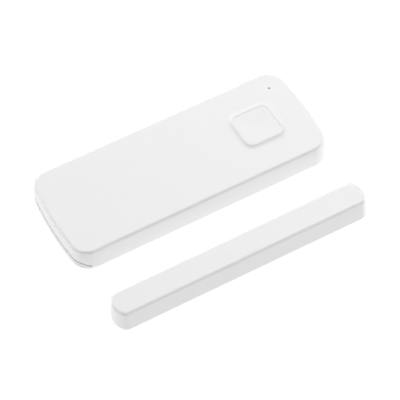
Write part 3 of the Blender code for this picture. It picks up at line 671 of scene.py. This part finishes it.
def make_button():
    """The button: softened edges, a hollow dished top, a flange under the cover and a stem."""
    mesh = bmesh.new()
    under = BUTTON_TOP - BUTTON_SHELL
    lip_top = BUTTON_TOP - BUTTON_LIP_DEPTH - 0.02
    rim = BUTTON_EDGE + 0.15
    profile = fillet([
        (BUTTON_SHELL + 0.6, under, 0),
        (BUTTON_SHELL, under, 0.25),
        (BUTTON_SHELL, BUTTON_FLANGE_BOTTOM, 0.08),
        (-BUTTON_FLANGE, BUTTON_FLANGE_BOTTOM, 0.08),
        (-BUTTON_FLANGE, BUTTON_FLANGE_TOP, 0.08),
        (0, BUTTON_FLANGE_TOP, 0.08),
        (0, lip_top - 0.4, 0),
        (-BUTTON_LIP, lip_top - 0.3, 0),
        (-BUTTON_LIP, lip_top, 0.01),
        (0, lip_top + 0.01, 0),
        (0, BUTTON_TOP, BUTTON_EDGE - 0.02),
        (rim, BUTTON_TOP, 0),
    ])
    rings = box_rings((BUTTON_SIZE, BUTTON_SIZE), BUTTON_CORNER, profile, BUTTON_PLACE)
    inside = BUTTON_SIZE - 2 * rim
    half = BUTTON_SIZE / 2 - rim
    for step in range(1, DISH_STEPS):
        share = 1 - step / DISH_STEPS
        points = []
        for x, y in rounded_outline(inside, inside, BUTTON_CORNER - rim):
            hollow = (1 - (x * share / half) ** 2) * (1 - (y * share / half) ** 2)
            points.append((x * share + BUTTON_X, y * share, BUTTON_TOP - BUTTON_DISH * hollow))
        rings.append(points)
    rows = add_walls(mesh, rings)
    mesh.faces.new(rows[-1])
    stem = add_walls(mesh, turned_rings(fillet([
        (BUTTON_STEM_RADIUS / 2, BUTTON_STEM_BOTTOM, 0),
        (BUTTON_STEM_RADIUS, BUTTON_STEM_BOTTOM, 0.15),
        (BUTTON_STEM_RADIUS, under, 0.2),
        (BUTTON_STEM_RADIUS + 0.5, under, 0),
    ]), BUTTON_PLACE))
    mesh.faces.new(stem[0])
    fill(mesh, [rows[0], stem[-1]])
    add_piece("button_moulding", mesh, ["white_shell"], "button_cap", body="button")


def make_light_pipe():
    """A clear rod with a shoulder under the cover and a rounded tip in the light's hole."""
    low, high = node_box("light_pipe")
    radius = (high.x - low.x) / 2
    shoulder = SENSOR_CEILING - SEAT
    profile = fillet([
        (radius / 2, low.z, 0),
        (radius, low.z, 0.1),
        (radius, shoulder, 0.1),
        (0.26, shoulder, 0.04),
        (0.22, high.z, 0.12),
        (0.05, high.z, 0),
    ])
    rings = turned_rings(profile, LIGHT_PLACE)
    add_plain_piece("light_rod", rings, ["clear_pipe"], "light_pipe", body="cover")


def node_box(name):
    """A CAD node's box at rest, in millimetres."""
    low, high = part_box(name)
    return low / MM, high / MM


def tool_from(rings, close=False):
    """A throwaway solid for a Boolean."""
    mesh = bmesh.new()
    add_solid(mesh, rings, close=close)
    return make_object("tool", mesh)


def cut_pad_pocket(plate, pad, place=(0.0, 0.0)):
    """A shallow pocket in a plate's back, a gap wider all round than the pad in it."""
    pocket = rounded_outline(pad[0] + 2 * GAP, pad[1] + 2 * GAP, pad[2] + GAP)
    tool = tool_from([ring(pocket, -OVERSHOOT, place), ring(pocket, PAD_POCKET_TOP, place)])
    combine(plate, tool, "DIFFERENCE")


def make_rear_plate():
    """The back of the case: floor, end band, cell bay, screw posts and centring tabs."""
    mesh = bmesh.new()
    floor_inset = SENSOR_WALL + GAP
    floor = slab_profile(CASE_BACK, PLATE_TOP, 0.15, 1.5 * 0.15, 3)
    add_solid(mesh, case_rings(SENSOR, [(floor_inset + inset, z) for inset, z in floor]))
    plate = make_object("plate_moulding", mesh, ["white_inner"])
    combine(plate, make_end_band())
    combine(plate, make_cell_bay())
    root = PLATE_TOP - 0.2
    post_top = BOARD_BOTTOM - GAP
    post = [(1.0, root, 0), (2.2, root, 0), (2.2, post_top, 0.15), (1.0, post_top, 0.1)]
    post = fillet(post + [(1.0, 1.7, 0.05), (0.3, 1.7, 0)], 3)
    for place in SCREW_PLACES:
        combine(plate, tool_from(turned_rings(post, place)))
    tab_y = SENSOR[1] / 2 - SENSOR_WALL - GAP - 0.5
    for x in TAB_XS:
        for y in (-tab_y, tab_y):
            mesh = bmesh.new()
            add_block(mesh, (x - 3.0, y - 0.4, root), (x + 3.0, y + 0.4, 2.9), 0.15)
            combine(plate, make_object("tab", mesh))
    cut_pad_pocket(plate, SENSOR_PAD)
    place_piece(plate, "white_inner", "rear_plate")


def make_end_band():
    """The full outline under the parting line, hollowed above the floor."""
    band = tool_from(case_rings(SENSOR, foot_profile() + [(wall_inset(BAND_TOP), BAND_TOP)]))
    run = PARTING_RUN - GAP
    rise = PARTING_RISE - GAP
    section = [
        (run * across - PARTING_CENTRE_X, CASE_BACK + rise * up)
        for across, up in circle_outline(1.0, FINE_ROUND_STEPS)
    ]
    roller = tool_from([[(x, y, z) for x, z in section] for y in (-SENSOR[1], SENSOR[1])])
    combine(band, roller, "INTERSECT")
    inside = case_outline(SENSOR, BAND_THICKNESS)
    hollow = tool_from([ring(inside, PLATE_TOP), ring(inside, BAND_TOP + OVERSHOOT)])
    combine(band, hollow, "DIFFERENCE")
    return band


def make_cell_bay():
    """A round wall about the cell, with a slot across it for the contacts."""
    bottom = PLATE_TOP - 0.2
    profile = fillet([
        (BAY_INNER, bottom, 0),
        (BAY_OUTER, bottom, 0),
        (BAY_OUTER, BAY_TOP, 0.15),
        (BAY_INNER, BAY_TOP, 0.25),
        (BAY_INNER, bottom, 0),
    ], 3)[:-1]
    bay = tool_from(turned_rings(profile, CELL_PLACE, ROUND_STEPS), close=True)
    slot = rounded_outline(2 * (BAY_OUTER + OVERSHOOT), BAY_SLOT_WIDTH, 0.1, BLOCK_STEPS)
    tool = tool_from([ring(slot, PLATE_TOP, CELL_PLACE), ring(slot, BAY_TOP + OVERSHOOT, CELL_PLACE)])
    combine(bay, tool, "DIFFERENCE")
    return bay


def make_pad(name, pad, centre, node, body):
    """Foam tape: a foam core between two thin films that stand a little proud of it."""
    profile = [(PAD_FILM / 2, 0.0), (0.0, PAD_FILM / 2), (0.0, PAD_FILM), (PAD_FILM, PAD_FILM)]
    core = len(profile) - 1
    profile += [(inset, PAD_THICKNESS - z) for inset, z in reversed(profile)]
    rings = box_rings(pad[:2], pad[2], profile, centre)
    finishes = ["tape_film", "foam_tape"]
    add_plain_piece(name, rings, finishes, node, bands={core: 1}, slot="foam_tape", body=body)


def make_circuit_board():
    """The board with its cell cutout, bare edges, and tinned lands round the screw holes."""
    mesh = bmesh.new()
    edge, land = 1, 2
    faces = (BOARD_BOTTOM, BOARD_TOP)
    board = add_rows(mesh, case_rings(SENSOR, [(BOARD_INSET, z) for z in faces]))
    cutout = [(BOARD_CUTOUT_RADIUS, z) for z in faces]
    opening = add_rows(mesh, turned_rings(cutout, CELL_PLACE, ROUND_STEPS))
    bridge(mesh, board, edge)
    bridge(mesh, opening, edge)
    tops, bottoms = [board[1], opening[1]], [board[0], opening[0]]
    for place in SCREW_PLACES:
        hole = [(BOARD_LAND_RADIUS, BOARD_BOTTOM), (BOARD_HOLE_RADIUS, BOARD_BOTTOM)]
        hole += [(BOARD_HOLE_RADIUS, BOARD_TOP), (BOARD_LAND_RADIUS, BOARD_TOP)]
        rows = add_rows(mesh, turned_rings(hole, place))
        bridge(mesh, rows, land)
        bottoms.append(rows[0])
        tops.append(rows[-1])
    fill(mesh, tops)
    fill(mesh, bottoms)
    add_piece("board", mesh, ["board_green", "board_edge", "tin"], "circuit_board")


def make_board_print():
    """Printed frames round the parts and the reed switch, and wider copper tracks under the mask."""
    mesh = bmesh.new()
    for name, margin in (
        ("radio_module", 0.5), ("tact_switch_body", 0.7), ("tamper_switch_body", 0.5),
        ("regulator_chip", 0.9), ("crystal", 0.4),
    ):
        low, high = node_box(name)
        size = (high.x - low.x + 2 * margin, high.y - low.y + 2 * margin)
        add_frame(mesh, size, middle(low, high))
    add_frame(mesh, (15.0, 3.6), REED_PLACE)
    add_piece("board_legend", mesh, ["board_print"], slot="white_inner")
    mesh = bmesh.new()
    for path in (
        ((-11, 3.5), (-8, 3.5), (-5.5, 1), (-3, 1)),
        ((-11, 2.6), (-8.3, 2.6), (-5.9, 0.2), (-3, 0.2)),
        ((-11, -4), (-8, -4), (-7, -3)),
        ((14, 6), (15.5, 7.5), (15.5, 9)),
        ((14, 5.2), (17.8, 9)),
        ((14, 0.5), (19, 0.5), (20.5, 2), (23, 2)),
        ((14, -0.5), (19.5, -0.5), (21, -2), (23, -2)),
        ((9.4, -12), (9.4, -6.5), (8, -5.1), (8, -4)),
        ((-9.4, -12), (-9.4, -8), (-3, -8), (-1, -6), (-1, -4)),
        ((14, -2.5), (17, -5.5), (17, -7.6)),
        ((29, 11), (33, 11)),
        ((25, 11), (26.2, 11)),
        ((36, 11), (37.4, 11.2)),
        ((32, -2.5), (36, -2.5), (38, -3)),
        ((24.2, -10.5), (30, -10.5), (31, -9.5), (31, -4)),
    ):
        add_ribbon(mesh, path, 0.35, BOARD_TOP, BOARD_TOP + TRACK_THICKNESS)
    add_piece("board_tracks", mesh, ["board_track"], slot="board_green")


def add_frame(mesh, size, centre):
    """A thin printed rectangle on the board."""
    line = 0.16
    outer = rounded_outline(size[0] + line, size[1] + line, 0.3, BLOCK_STEPS)
    inner = rounded_outline(size[0] - line, size[1] - line, 0.2, BLOCK_STEPS)
    top = BOARD_TOP + PRINT_THICKNESS
    corners = ((outer, BOARD_TOP), (outer, top), (inner, top), (inner, BOARD_TOP))
    add_solid(mesh, [ring(outline, z, centre) for outline, z in corners], close=True)


def make_screws():
    """Pan-head screws with a domed crown, a cross recess and a threaded shank."""
    profile = [(0.3, 1.9), (0.55, 2.15)]
    z = 2.3
    while z < BOARD_SEAT - 0.5:
        profile += [(0.8, z), (0.8, z + 0.06), (0.6, z + 0.2), (0.6, z + 0.28)]
        z += 0.45
    crown = 5.2
    profile.append((0.7, BOARD_SEAT))
    head = [(1.45, BOARD_SEAT, 0), (1.6, BOARD_SEAT, 0.06), (1.6, 4.75, 0.12), (1.35, 5.05, 0.3)]
    profile += fillet(head + [(1.0, crown, 0)], 4)
    for number, place in enumerate(SCREW_PLACES, start=1):
        rings = turned_rings(profile, place, SCREW_STEPS)
        rings.append(ring(cross_outline(0.95, 0.24, SCREW_STEPS), crown, place))
        rings.append(ring(cross_outline(0.80, 0.18, SCREW_STEPS), 4.75, place))
        name = f"cross_screw_{number}"
        add_plain_piece(name, rings, ["screw_steel"], f"board_screw_{number}")


def make_coin_cell():
    """The cell: drawn can, rolled rim, dark gasket and cap, with a plus sign pressed into the can."""
    face = CELL_TOP - 0.06
    below = fillet([(4.0, CELL_BOTTOM, 0), (8.8, CELL_BOTTOM, 0.18), (8.8, 2.42, 0)], 3)
    gasket = [(8.82, 2.36), (9.25, 2.36), (9.3, 2.42)]
    above = fillet([
        (9.35, 2.40, 0),
        (10.0, 2.45, 0.35),
        (10.0, CELL_TOP, 0.38),
        (9.0, CELL_TOP, 0.1),
        (8.85, face, 0.1),
        (3.6, face, 0),
    ])
    rings = turned_rings(below + gasket + above, CELL_PLACE, FINE_ROUND_STEPS)
    first_dark = len(below) - 1
    bands = {index: 1 for index in range(first_dark, first_dark + len(gasket) + 1)}
    rings.append(ring(cross_outline(1.8, 0.3, FINE_ROUND_STEPS), face, CELL_PLACE))
    rings.append(ring(cross_outline(1.76, 0.26, FINE_ROUND_STEPS), CELL_TOP - 0.12, CELL_PLACE))
    finishes = ["cell_steel", "cell_gasket"]
    add_plain_piece("cell", rings, finishes, "coin_cell", bands=bands, body="cell")


def make_contacts():
    """Two stamped spring contacts with bent, softened profiles."""
    thick, wide = 0.2, 3.0
    section = rounded_outline(wide, thick, 0.06, BLOCK_STEPS)
    leaf = [(-2.5, 1.6, 0), (-1.0, 1.68, 0.5), (0.0, 1.9, 1.2), (1.0, 1.68, 0.5)]
    leaf = fillet(leaf + [(2.5, 1.6, 0.5), (13.0, 1.6, 0.4), (13.0, 2.9, 0)])
    finger = fillet([(-14.0, 4.4, 0), (-10.6, 4.4, 0.35), (-10.45, 3.2, 1.0), (-10.6, 2.0, 0)])
    for name, node, path in (
        ("leaf_contact", "cell_contact_negative", leaf),
        ("finger_contact", "cell_contact_positive", finger),
    ):
        mesh = bmesh.new()
        add_tube(mesh, [(x + CELL_PLACE[0], 0.0, z) for x, z in path], [section] * len(path))
        add_piece(name, mesh, ["contact_nickel"], node)


def make_push_switch():
    """A tactile switch: moulded base, staked steel cover plate, four legs, and its plunger."""
    low, high = node_box("tact_switch_body")
    centre = middle(low, high)
    corners = [(side_x, side_y) for side_x in (-1, 1) for side_y in (-1, 1)]
    mesh = bmesh.new()
    add_well(mesh, low, high.z - 0.25, centre, 1.7)
    add_piece("push_switch_base", mesh, ["switch_black"], "tact_switch_body")
    mesh = bmesh.new()
    under = high.z - 0.23
    sides = [(0.0, under), (0.0, high.z - 0.06), (0.06, high.z)]
    rows = add_walls(mesh, box_rings((5.9, 5.9), 0.35, sides, centre, least=0.35))
    hole = add_walls(mesh, turned_rings([(1.72, under), (1.72, high.z)], centre))
    fill(mesh, [rows[0], hole[0]])
    fill(mesh, [rows[-1], hole[-1]])
    for side_x, side_y in corners:
        leg = (centre[0] + side_x * 2.35, centre[1] + side_y * 3.025)
        add_terminal(mesh, leg, (0.35, 0.075), 4.95, 0.04)
    add_piece("push_switch_plate", mesh, ["shield_steel"])
    mesh = bmesh.new()
    profile = [(0.38, high.z - 0.3), (0.38, high.z - 0.03), (0.3, high.z - 0.005)]
    for side_x, side_y in corners:
        stake = (centre[0] + side_x * 2.25, centre[1] + side_y * 2.25)
        add_solid(mesh, turned_rings(profile, stake, WIRE_STEPS))
    add_piece("push_switch_stakes", mesh, ["switch_black"])
    make_plunger("push_switch_plunger", "tact_switch_plunger", "push_plunger")


def add_well(mesh, low, top, centre, radius):
    """A block with softened edges and a round well in its top."""
    size = (2 * (centre[0] - low.x), 2 * (centre[1] - low.y))
    rows = add_walls(mesh, box_rings(size, 0.5, slab_profile(low.z, top, 0.12, 0.3, 2), centre))
    mesh.faces.new(rows[0])
    well = add_walls(mesh, turned_rings([(radius, top), (radius, 4.5)], centre))
    mesh.faces.new(well[-1])
    fill(mesh, [rows[-1], well[0]])


def make_plunger(name, node, body):
    """A short round plunger with softened rims."""
    low, high = node_box(node)
    radius = (high.x - low.x) / 2
    profile = [(radius / 2, low.z, 0), (radius, low.z, 0.08), (radius, high.z, 0.14)]
    profile = fillet(profile + [(radius / 3, high.z, 0)], 4)
    rings = turned_rings(profile, middle(low, high))
    add_plain_piece(name, rings, ["plunger_brown"], node, body=body)


def make_tamper_switch():
    """The switch under the cover's peg: moulded base, four legs and its plunger."""
    low, high = node_box("tamper_switch_body")
    centre = middle(low, high)
    mesh = bmesh.new()
    add_well(mesh, low, high.z, centre, 0.9)
    add_piece("cover_switch_base", mesh, ["switch_black"], "tamper_switch_body")
    mesh = bmesh.new()
    for side in (-1, 1):
        for x in (-1.2, 1.2):
            add_terminal(mesh, (centre[0] + x, centre[1] + side * 1.8), (0.3, 0.25), 4.6, 0.05)
    add_piece("cover_switch_legs", mesh, ["tin"], slot="contact_nickel")
    make_plunger("cover_switch_plunger", "tamper_switch_plunger", "tamper_plunger")


def make_reed_switch():
    """Glass tube with fused, rounded ends, its two leads, and their solder on the board."""
    x0, y0, z0 = REED_PLACE
    neck, outside, bore, tip, hollow = 0.5, 1.1, 0.8, 6.5, 5.6
    section = fillet([(-tip, neck, 0), (-tip, outside, 0.5), (tip, outside, 0.5), (tip, neck, 0)], 6)
    section += fillet([(hollow, neck, 0), (5.1, bore, 0.4), (-5.1, bore, 0.4), (-hollow, neck, 0)], 6)
    rings = [
        [(x + x0, y + y0, z + z0) for y, z in circle_outline(radius, SMALL_ROUND_STEPS)]
        for x, radius in section
    ]
    add_plain_piece("reed_tube", rings, ["reed_glass"], "reed_glass", close=True)
    make_reed_leads()
    mesh = bmesh.new()
    foot = BOARD_TOP + 0.005
    profile = [(0.75, foot), (0.72, BOARD_TOP + 0.05), (0.5, 4.35), (0.36, 4.6), (0.28, 4.85)]
    for side in (-1, 1):
        add_solid(mesh, turned_rings(profile, (x0 + side * REED_BEND, y0)))
    add_piece("reed_solder", mesh, ["tin"], slot="contact_nickel")


def make_reed_leads():
    """Two leads, each a flat reed inside the glass and a round wire outside, bent down to the board."""
    x0, y0, z0 = REED_PLACE
    wire = circle_outline(0.25, WIRE_STEPS)
    blade = [(y * 2.0, up * 0.6 + 0.25) for y, up in wire]
    path = [(-0.8, 0.0), (3.3, 0.0), (4.2, 0.0), (5.0, 0.0), (8.0, 0.0)]
    path += fillet([(8.4, 0.0, 0), (REED_BEND, 0.0, 0.6), (REED_BEND, -1.28, 0)], 8)
    sections = [blade, blade] + [wire] * (len(path) - 2)
    for name, side in (("left", -1), ("right", 1)):
        mesh = bmesh.new()
        add_tube(mesh, [(x0 + side * x, y0, z0 + z) for x, z in path], sections)
        add_piece(f"reed_wire_{name}", mesh, ["contact_nickel"], f"reed_lead_{name}")


def make_radio():
    """The radio module: its own small board with edge contacts and an aerial track, and a shield."""
    low, high = node_box("radio_module")
    mesh = bmesh.new()
    add_block(mesh, low, high, 0.05)
    add_piece("radio_board", mesh, ["board_green"], "radio_module")
    mesh = bmesh.new()
    for index in range(10):
        for y in (low.y, high.y):
            place = (low.x + 1.0 + index * 1.1, y)
            add_terminal(mesh, place, (0.25, 0.06), high.z + 0.01, 0.03)
    add_piece("radio_contacts", mesh, ["tin"], slot="contact_nickel")
    mesh = bmesh.new()
    near, far = 10.2, 12.4
    y = low.y + 1.0
    path = [(9.8, y)]
    while y < high.y - 1.6:
        path += [(far, y), (far, y + 0.7), (near, y + 0.7), (near, y + 1.4)]
        y += 1.4
    path.append((far, y))
    add_ribbon(mesh, path, 0.3, high.z, high.z + TRACK_THICKNESS)
    add_piece("radio_aerial", mesh, ["board_track"], slot="board_green")
    make_shield()


def make_shield():
    """A pressed steel lid, open below, with a shallow step round its top."""
    low, high = node_box("shield_can")
    wall, step = 0.25, 0.08
    profile = fillet([
        (2 * wall, high.z - wall, 0),
        (wall, high.z - wall, 0.1),
        (wall, low.z, 0.04),
        (0.0, low.z, 0.04),
        (0.0, high.z, 0.22),
        (0.6, high.z, 0.1),
        (0.75, high.z - step, 0.1),
        (1.2, high.z - step, 0),
    ], 4)
    size = (high.x - low.x, high.y - low.y)
    rings = box_rings(size, 0.55, profile, middle(low, high), least=0.1)
    add_plain_piece("radio_shield", rings, ["shield_steel"], "shield_can")


def make_chip_part(name, node, finish, slot=None, axis=0, ends=0.22):
    """A surface-mount part along an axis: a softened body between two tinned end caps."""
    low, high = node_box(node)
    mesh = bmesh.new()
    reach = (high[axis] - low[axis]) * ends
    trim = 0.03
    body_low, body_high = low.copy(), high.copy()
    body_low[axis] += reach * 0.8
    body_high[axis] -= reach * 0.8
    body_low[1 - axis] += trim
    body_high[1 - axis] -= trim
    body_low.z = BOARD_TOP + 0.06
    body_high.z -= trim
    add_block(mesh, body_low, body_high, 0.05)
    for first, last in ((low[axis], low[axis] + reach), (high[axis] - reach, high[axis])):
        cap_low, cap_high = low.copy(), high.copy()
        cap_low[axis], cap_high[axis] = first, last
        cap_low.z = BOARD_TOP + SOLDER_FILM
        add_block(mesh, cap_low, cap_high, 0.09, 1)
    add_piece(name, mesh, [finish, "tin"], node, slot=slot)


def make_small_parts():
    """Capacitors, resistors, the aerial chip and the indicator light."""
    for number in (1, 2, 3):
        name = f"capacitor_{number}"
        make_chip_part(f"chip_{name}", name, "capacitor_tan")
    for number in (1, 2):
        name = f"resistor_{number}"
        make_chip_part(f"chip_{name}", name, "chip_black")
    make_chip_part("aerial_chip", "chip_antenna", "ceramic", axis=1, ends=0.14)
    make_chip_part("light_body", "status_led", "led_body", slot="led_lens")
    top = node_box("status_led")[1].z
    profile = [(0.36, top - 0.1), (0.36, top - 0.02), (0.2, top - 0.005)]
    add_plain_piece("light_lens", turned_rings(profile, LIGHT_PLACE), ["led_lens"])


def make_crystal():
    """A quartz crystal: ceramic base and a seam-welded lid."""
    low, high = node_box("crystal")
    profile = [(0.0, BOARD_TOP + 0.04), (0.0, high.z - 0.25), (0.12, high.z - 0.2)]
    profile += [(0.12, high.z - 0.03), (0.16, high.z)]
    rings = box_rings((high.x - low.x, high.y - low.y), 0.4, profile, middle(low, high))
    add_plain_piece("crystal_can", rings, ["shield_steel", "ceramic"], "crystal", bands={0: 1})


def make_regulator():
    """The power chip: a softened black body with three leads on each side."""
    low, high = node_box("regulator_chip")
    x, y = middle(low, high)
    mesh = bmesh.new()
    body_low = (low.x, low.y + 0.45, BOARD_TOP + 0.1)
    add_block(mesh, body_low, (high.x, high.y - 0.45, high.z), 0.08)
    for side in (-1, 1):
        for index in (-1, 0, 1):
            lead = (x + index * 0.95, y + side * 1.275)
            add_terminal(mesh, lead, (0.2, 0.225), BOARD_TOP + 0.32, 0.05, 1)
    add_piece("power_chip", mesh, ["chip_black", "tin"], "regulator_chip")


# Magnet unit


def make_magnet_housing():
    """The magnet unit's shell, with its softened foot and rounded top."""
    inside = fillet([
        (MAGNET_WALL + 0.9, MAGNET_CEILING, 0),
        (MAGNET_WALL, MAGNET_CEILING, INNER_ROUND),
        (MAGNET_WALL, CASE_BACK, 0.1),
        (FOOT_SOFT_SIDE + 0.2, CASE_BACK, 0),
    ])
    rings = case_rings(MAGNET, inside + foot_profile() + top_edge(), MAGNET_PLACE)
    add_plain_piece("magnet_moulding", rings, ["white_shell"], "magnet_housing", body="magnet_cover")


def make_magnet_plate():
    """The magnet unit's back with its two stops and its pad pocket."""
    mesh = bmesh.new()
    profile = slab_profile(CASE_BACK, PLATE_TOP, 0.15, 0.5, 3)
    profile = [(MAGNET_WALL + GAP + inset, z) for inset, z in profile]
    add_solid(mesh, case_rings(MAGNET, profile, MAGNET_PLACE))
    plate = make_object("magnet_plate_moulding", mesh, ["white_inner"])
    low, high = node_box("bar_magnet")
    y, stop = MAGNET_PLACE[1], 1.2
    for x in (low.x - GAP - stop, high.x + GAP):
        mesh = bmesh.new()
        add_block(mesh, (x, y - 2.2, PLATE_TOP - 0.2), (x + stop, y + 2.2, 4.0), 0.2)
        combine(plate, make_object("stop", mesh))
    cut_pad_pocket(plate, MAGNET_PAD, MAGNET_PLACE)
    place_piece(plate, "white_inner", "magnet_back_plate", body="magnet_base")


def make_bar_magnet():
    """The bar magnet and the foam cushion beside it."""
    for name, node, slot, soft in (
        ("magnet_bar", "bar_magnet", "magnet_nickel", 0.3),
        ("magnet_cushion", "magnet_foam", "foam_grey", 0.12),
    ):
        mesh = bmesh.new()
        add_block(mesh, *node_box(node), soft)
        add_piece(name, mesh, [slot], node, body="magnet_base")


# Studio


def make_floor():
    """A white light table that shows its top face only, so the underside can be looked at."""
    mesh = bmesh.new()
    bmesh.ops.create_grid(mesh, x_segments=1, y_segments=1, size=8.0)
    made = make_object("floor", mesh)
    made.location = (FLOOR_SHIFT, 0.0, -0.05 * MM)
    material = bpy.data.materials.new("light_table")
    material.use_nodes = True
    tree = material.node_tree
    tree.nodes.clear()
    glow = tree.nodes.new("ShaderNodeEmission")
    glow.inputs["Strength"].default_value = FLOOR_GLOW
    clear = tree.nodes.new("ShaderNodeBsdfTransparent")
    geometry = tree.nodes.new("ShaderNodeNewGeometry")
    choose = tree.nodes.new("ShaderNodeMixShader")
    out = tree.nodes.new("ShaderNodeOutputMaterial")
    tree.links.new(geometry.outputs["Backfacing"], choose.inputs[0])
    tree.links.new(glow.outputs[0], choose.inputs[1])
    tree.links.new(clear.outputs[0], choose.inputs[2])
    tree.links.new(choose.outputs[0], out.inputs["Surface"])
    made.data.materials.append(material)


def make_world():
    world = bpy.data.worlds.new("studio")
    world.use_nodes = True
    sky = world.node_tree.nodes["Background"]
    sky.inputs["Color"].default_value = (1.0, 1.0, 1.0, 1.0)
    sky.inputs["Strength"].default_value = SKY_GLOW
    bpy.context.scene.world = world


def direction(azimuth, elevation):
    """The unit vector towards a light or camera, from angles in degrees; azimuth 0 is the front."""
    side = math.radians(azimuth)
    height = math.radians(elevation)
    return Vector((
        math.sin(side) * math.cos(height),
        -math.cos(side) * math.cos(height),
        math.sin(height),
    ))


def make_softbox(name, azimuth, elevation, power):
    """A square area light at a direction given in degrees, turned to the object."""
    place = SOFTBOX_DISTANCE * direction(azimuth, elevation)
    data = bpy.data.lights.new(name, "AREA")
    data.shape = "SQUARE"
    data.size = SOFTBOX_SIZE
    data.energy = power
    made = bpy.data.objects.new(name, data)
    made.location = place
    made.rotation_mode = "QUATERNION"
    made.rotation_quaternion = (-place).to_track_quat("-Z", "Y")
    bpy.context.scene.collection.objects.link(made)


def make_lights():
    """A ring of softboxes, brightest at the back and on the right, softest in front."""
    make_softbox("front_box", 0.0, 50.0, 2.6)
    make_softbox("front_right_box", 45.0, 20.0, 2.9)
    make_softbox("right_box", 90.0, 20.0, 5.2)
    make_softbox("back_right_box", 135.0, 50.0, 4.3)
    make_softbox("back_box", 180.0, 20.0, 5.7)
    make_softbox("back_high_box", 180.0, 50.0, 1.1)
    make_softbox("back_left_box", 225.0, 20.0, 3.4)
    make_softbox("left_box", 270.0, 20.0, 3.3)


def make_camera():
    """The photo's angle: a long lens, high up on the left, rolled by a little."""
    roll = math.radians(CAMERA_ROLL)
    back = direction(CAMERA_AZIMUTH, CAMERA_ELEVATION)
    level = direction(CAMERA_AZIMUTH + 90.0, 0.0)
    upright = back.cross(level)
    right = math.cos(roll) * level + math.sin(roll) * upright
    up = math.cos(roll) * upright - math.sin(roll) * level
    data = bpy.data.cameras.new("camera")
    data.lens = CAMERA_LENS
    data.sensor_width = CAMERA_SENSOR
    data.clip_start = CAMERA_NEAR
    made = bpy.data.objects.new("camera", data)
    turn = Matrix((right, up, back)).transposed()
    made.matrix_world = Matrix.Translation(turn @ Vector(CAMERA_OFFSET)) @ turn.to_4x4()
    bpy.context.scene.collection.objects.link(made)
    bpy.context.scene.camera = made


def main():
    make_camera()
    make_floor()
    make_world()
    make_lights()
    bpy.context.scene.view_settings.view_transform = "Standard"
    make_finishes()
    make_front_cover()
    make_button()
    make_light_pipe()
    make_rear_plate()
    make_pad("sensor_tape", SENSOR_PAD, (0.0, 0.0), "sensor_adhesive_pad", "sensor_base")
    make_circuit_board()
    make_board_print()
    make_screws()
    make_coin_cell()
    make_contacts()
    make_push_switch()
    make_tamper_switch()
    make_reed_switch()
    make_radio()
    make_small_parts()
    make_crystal()
    make_regulator()
    make_magnet_housing()
    make_magnet_plate()
    make_pad("magnet_tape", MAGNET_PAD, MAGNET_PLACE, "magnet_adhesive_pad", "magnet_base")
    make_bar_magnet()


main()
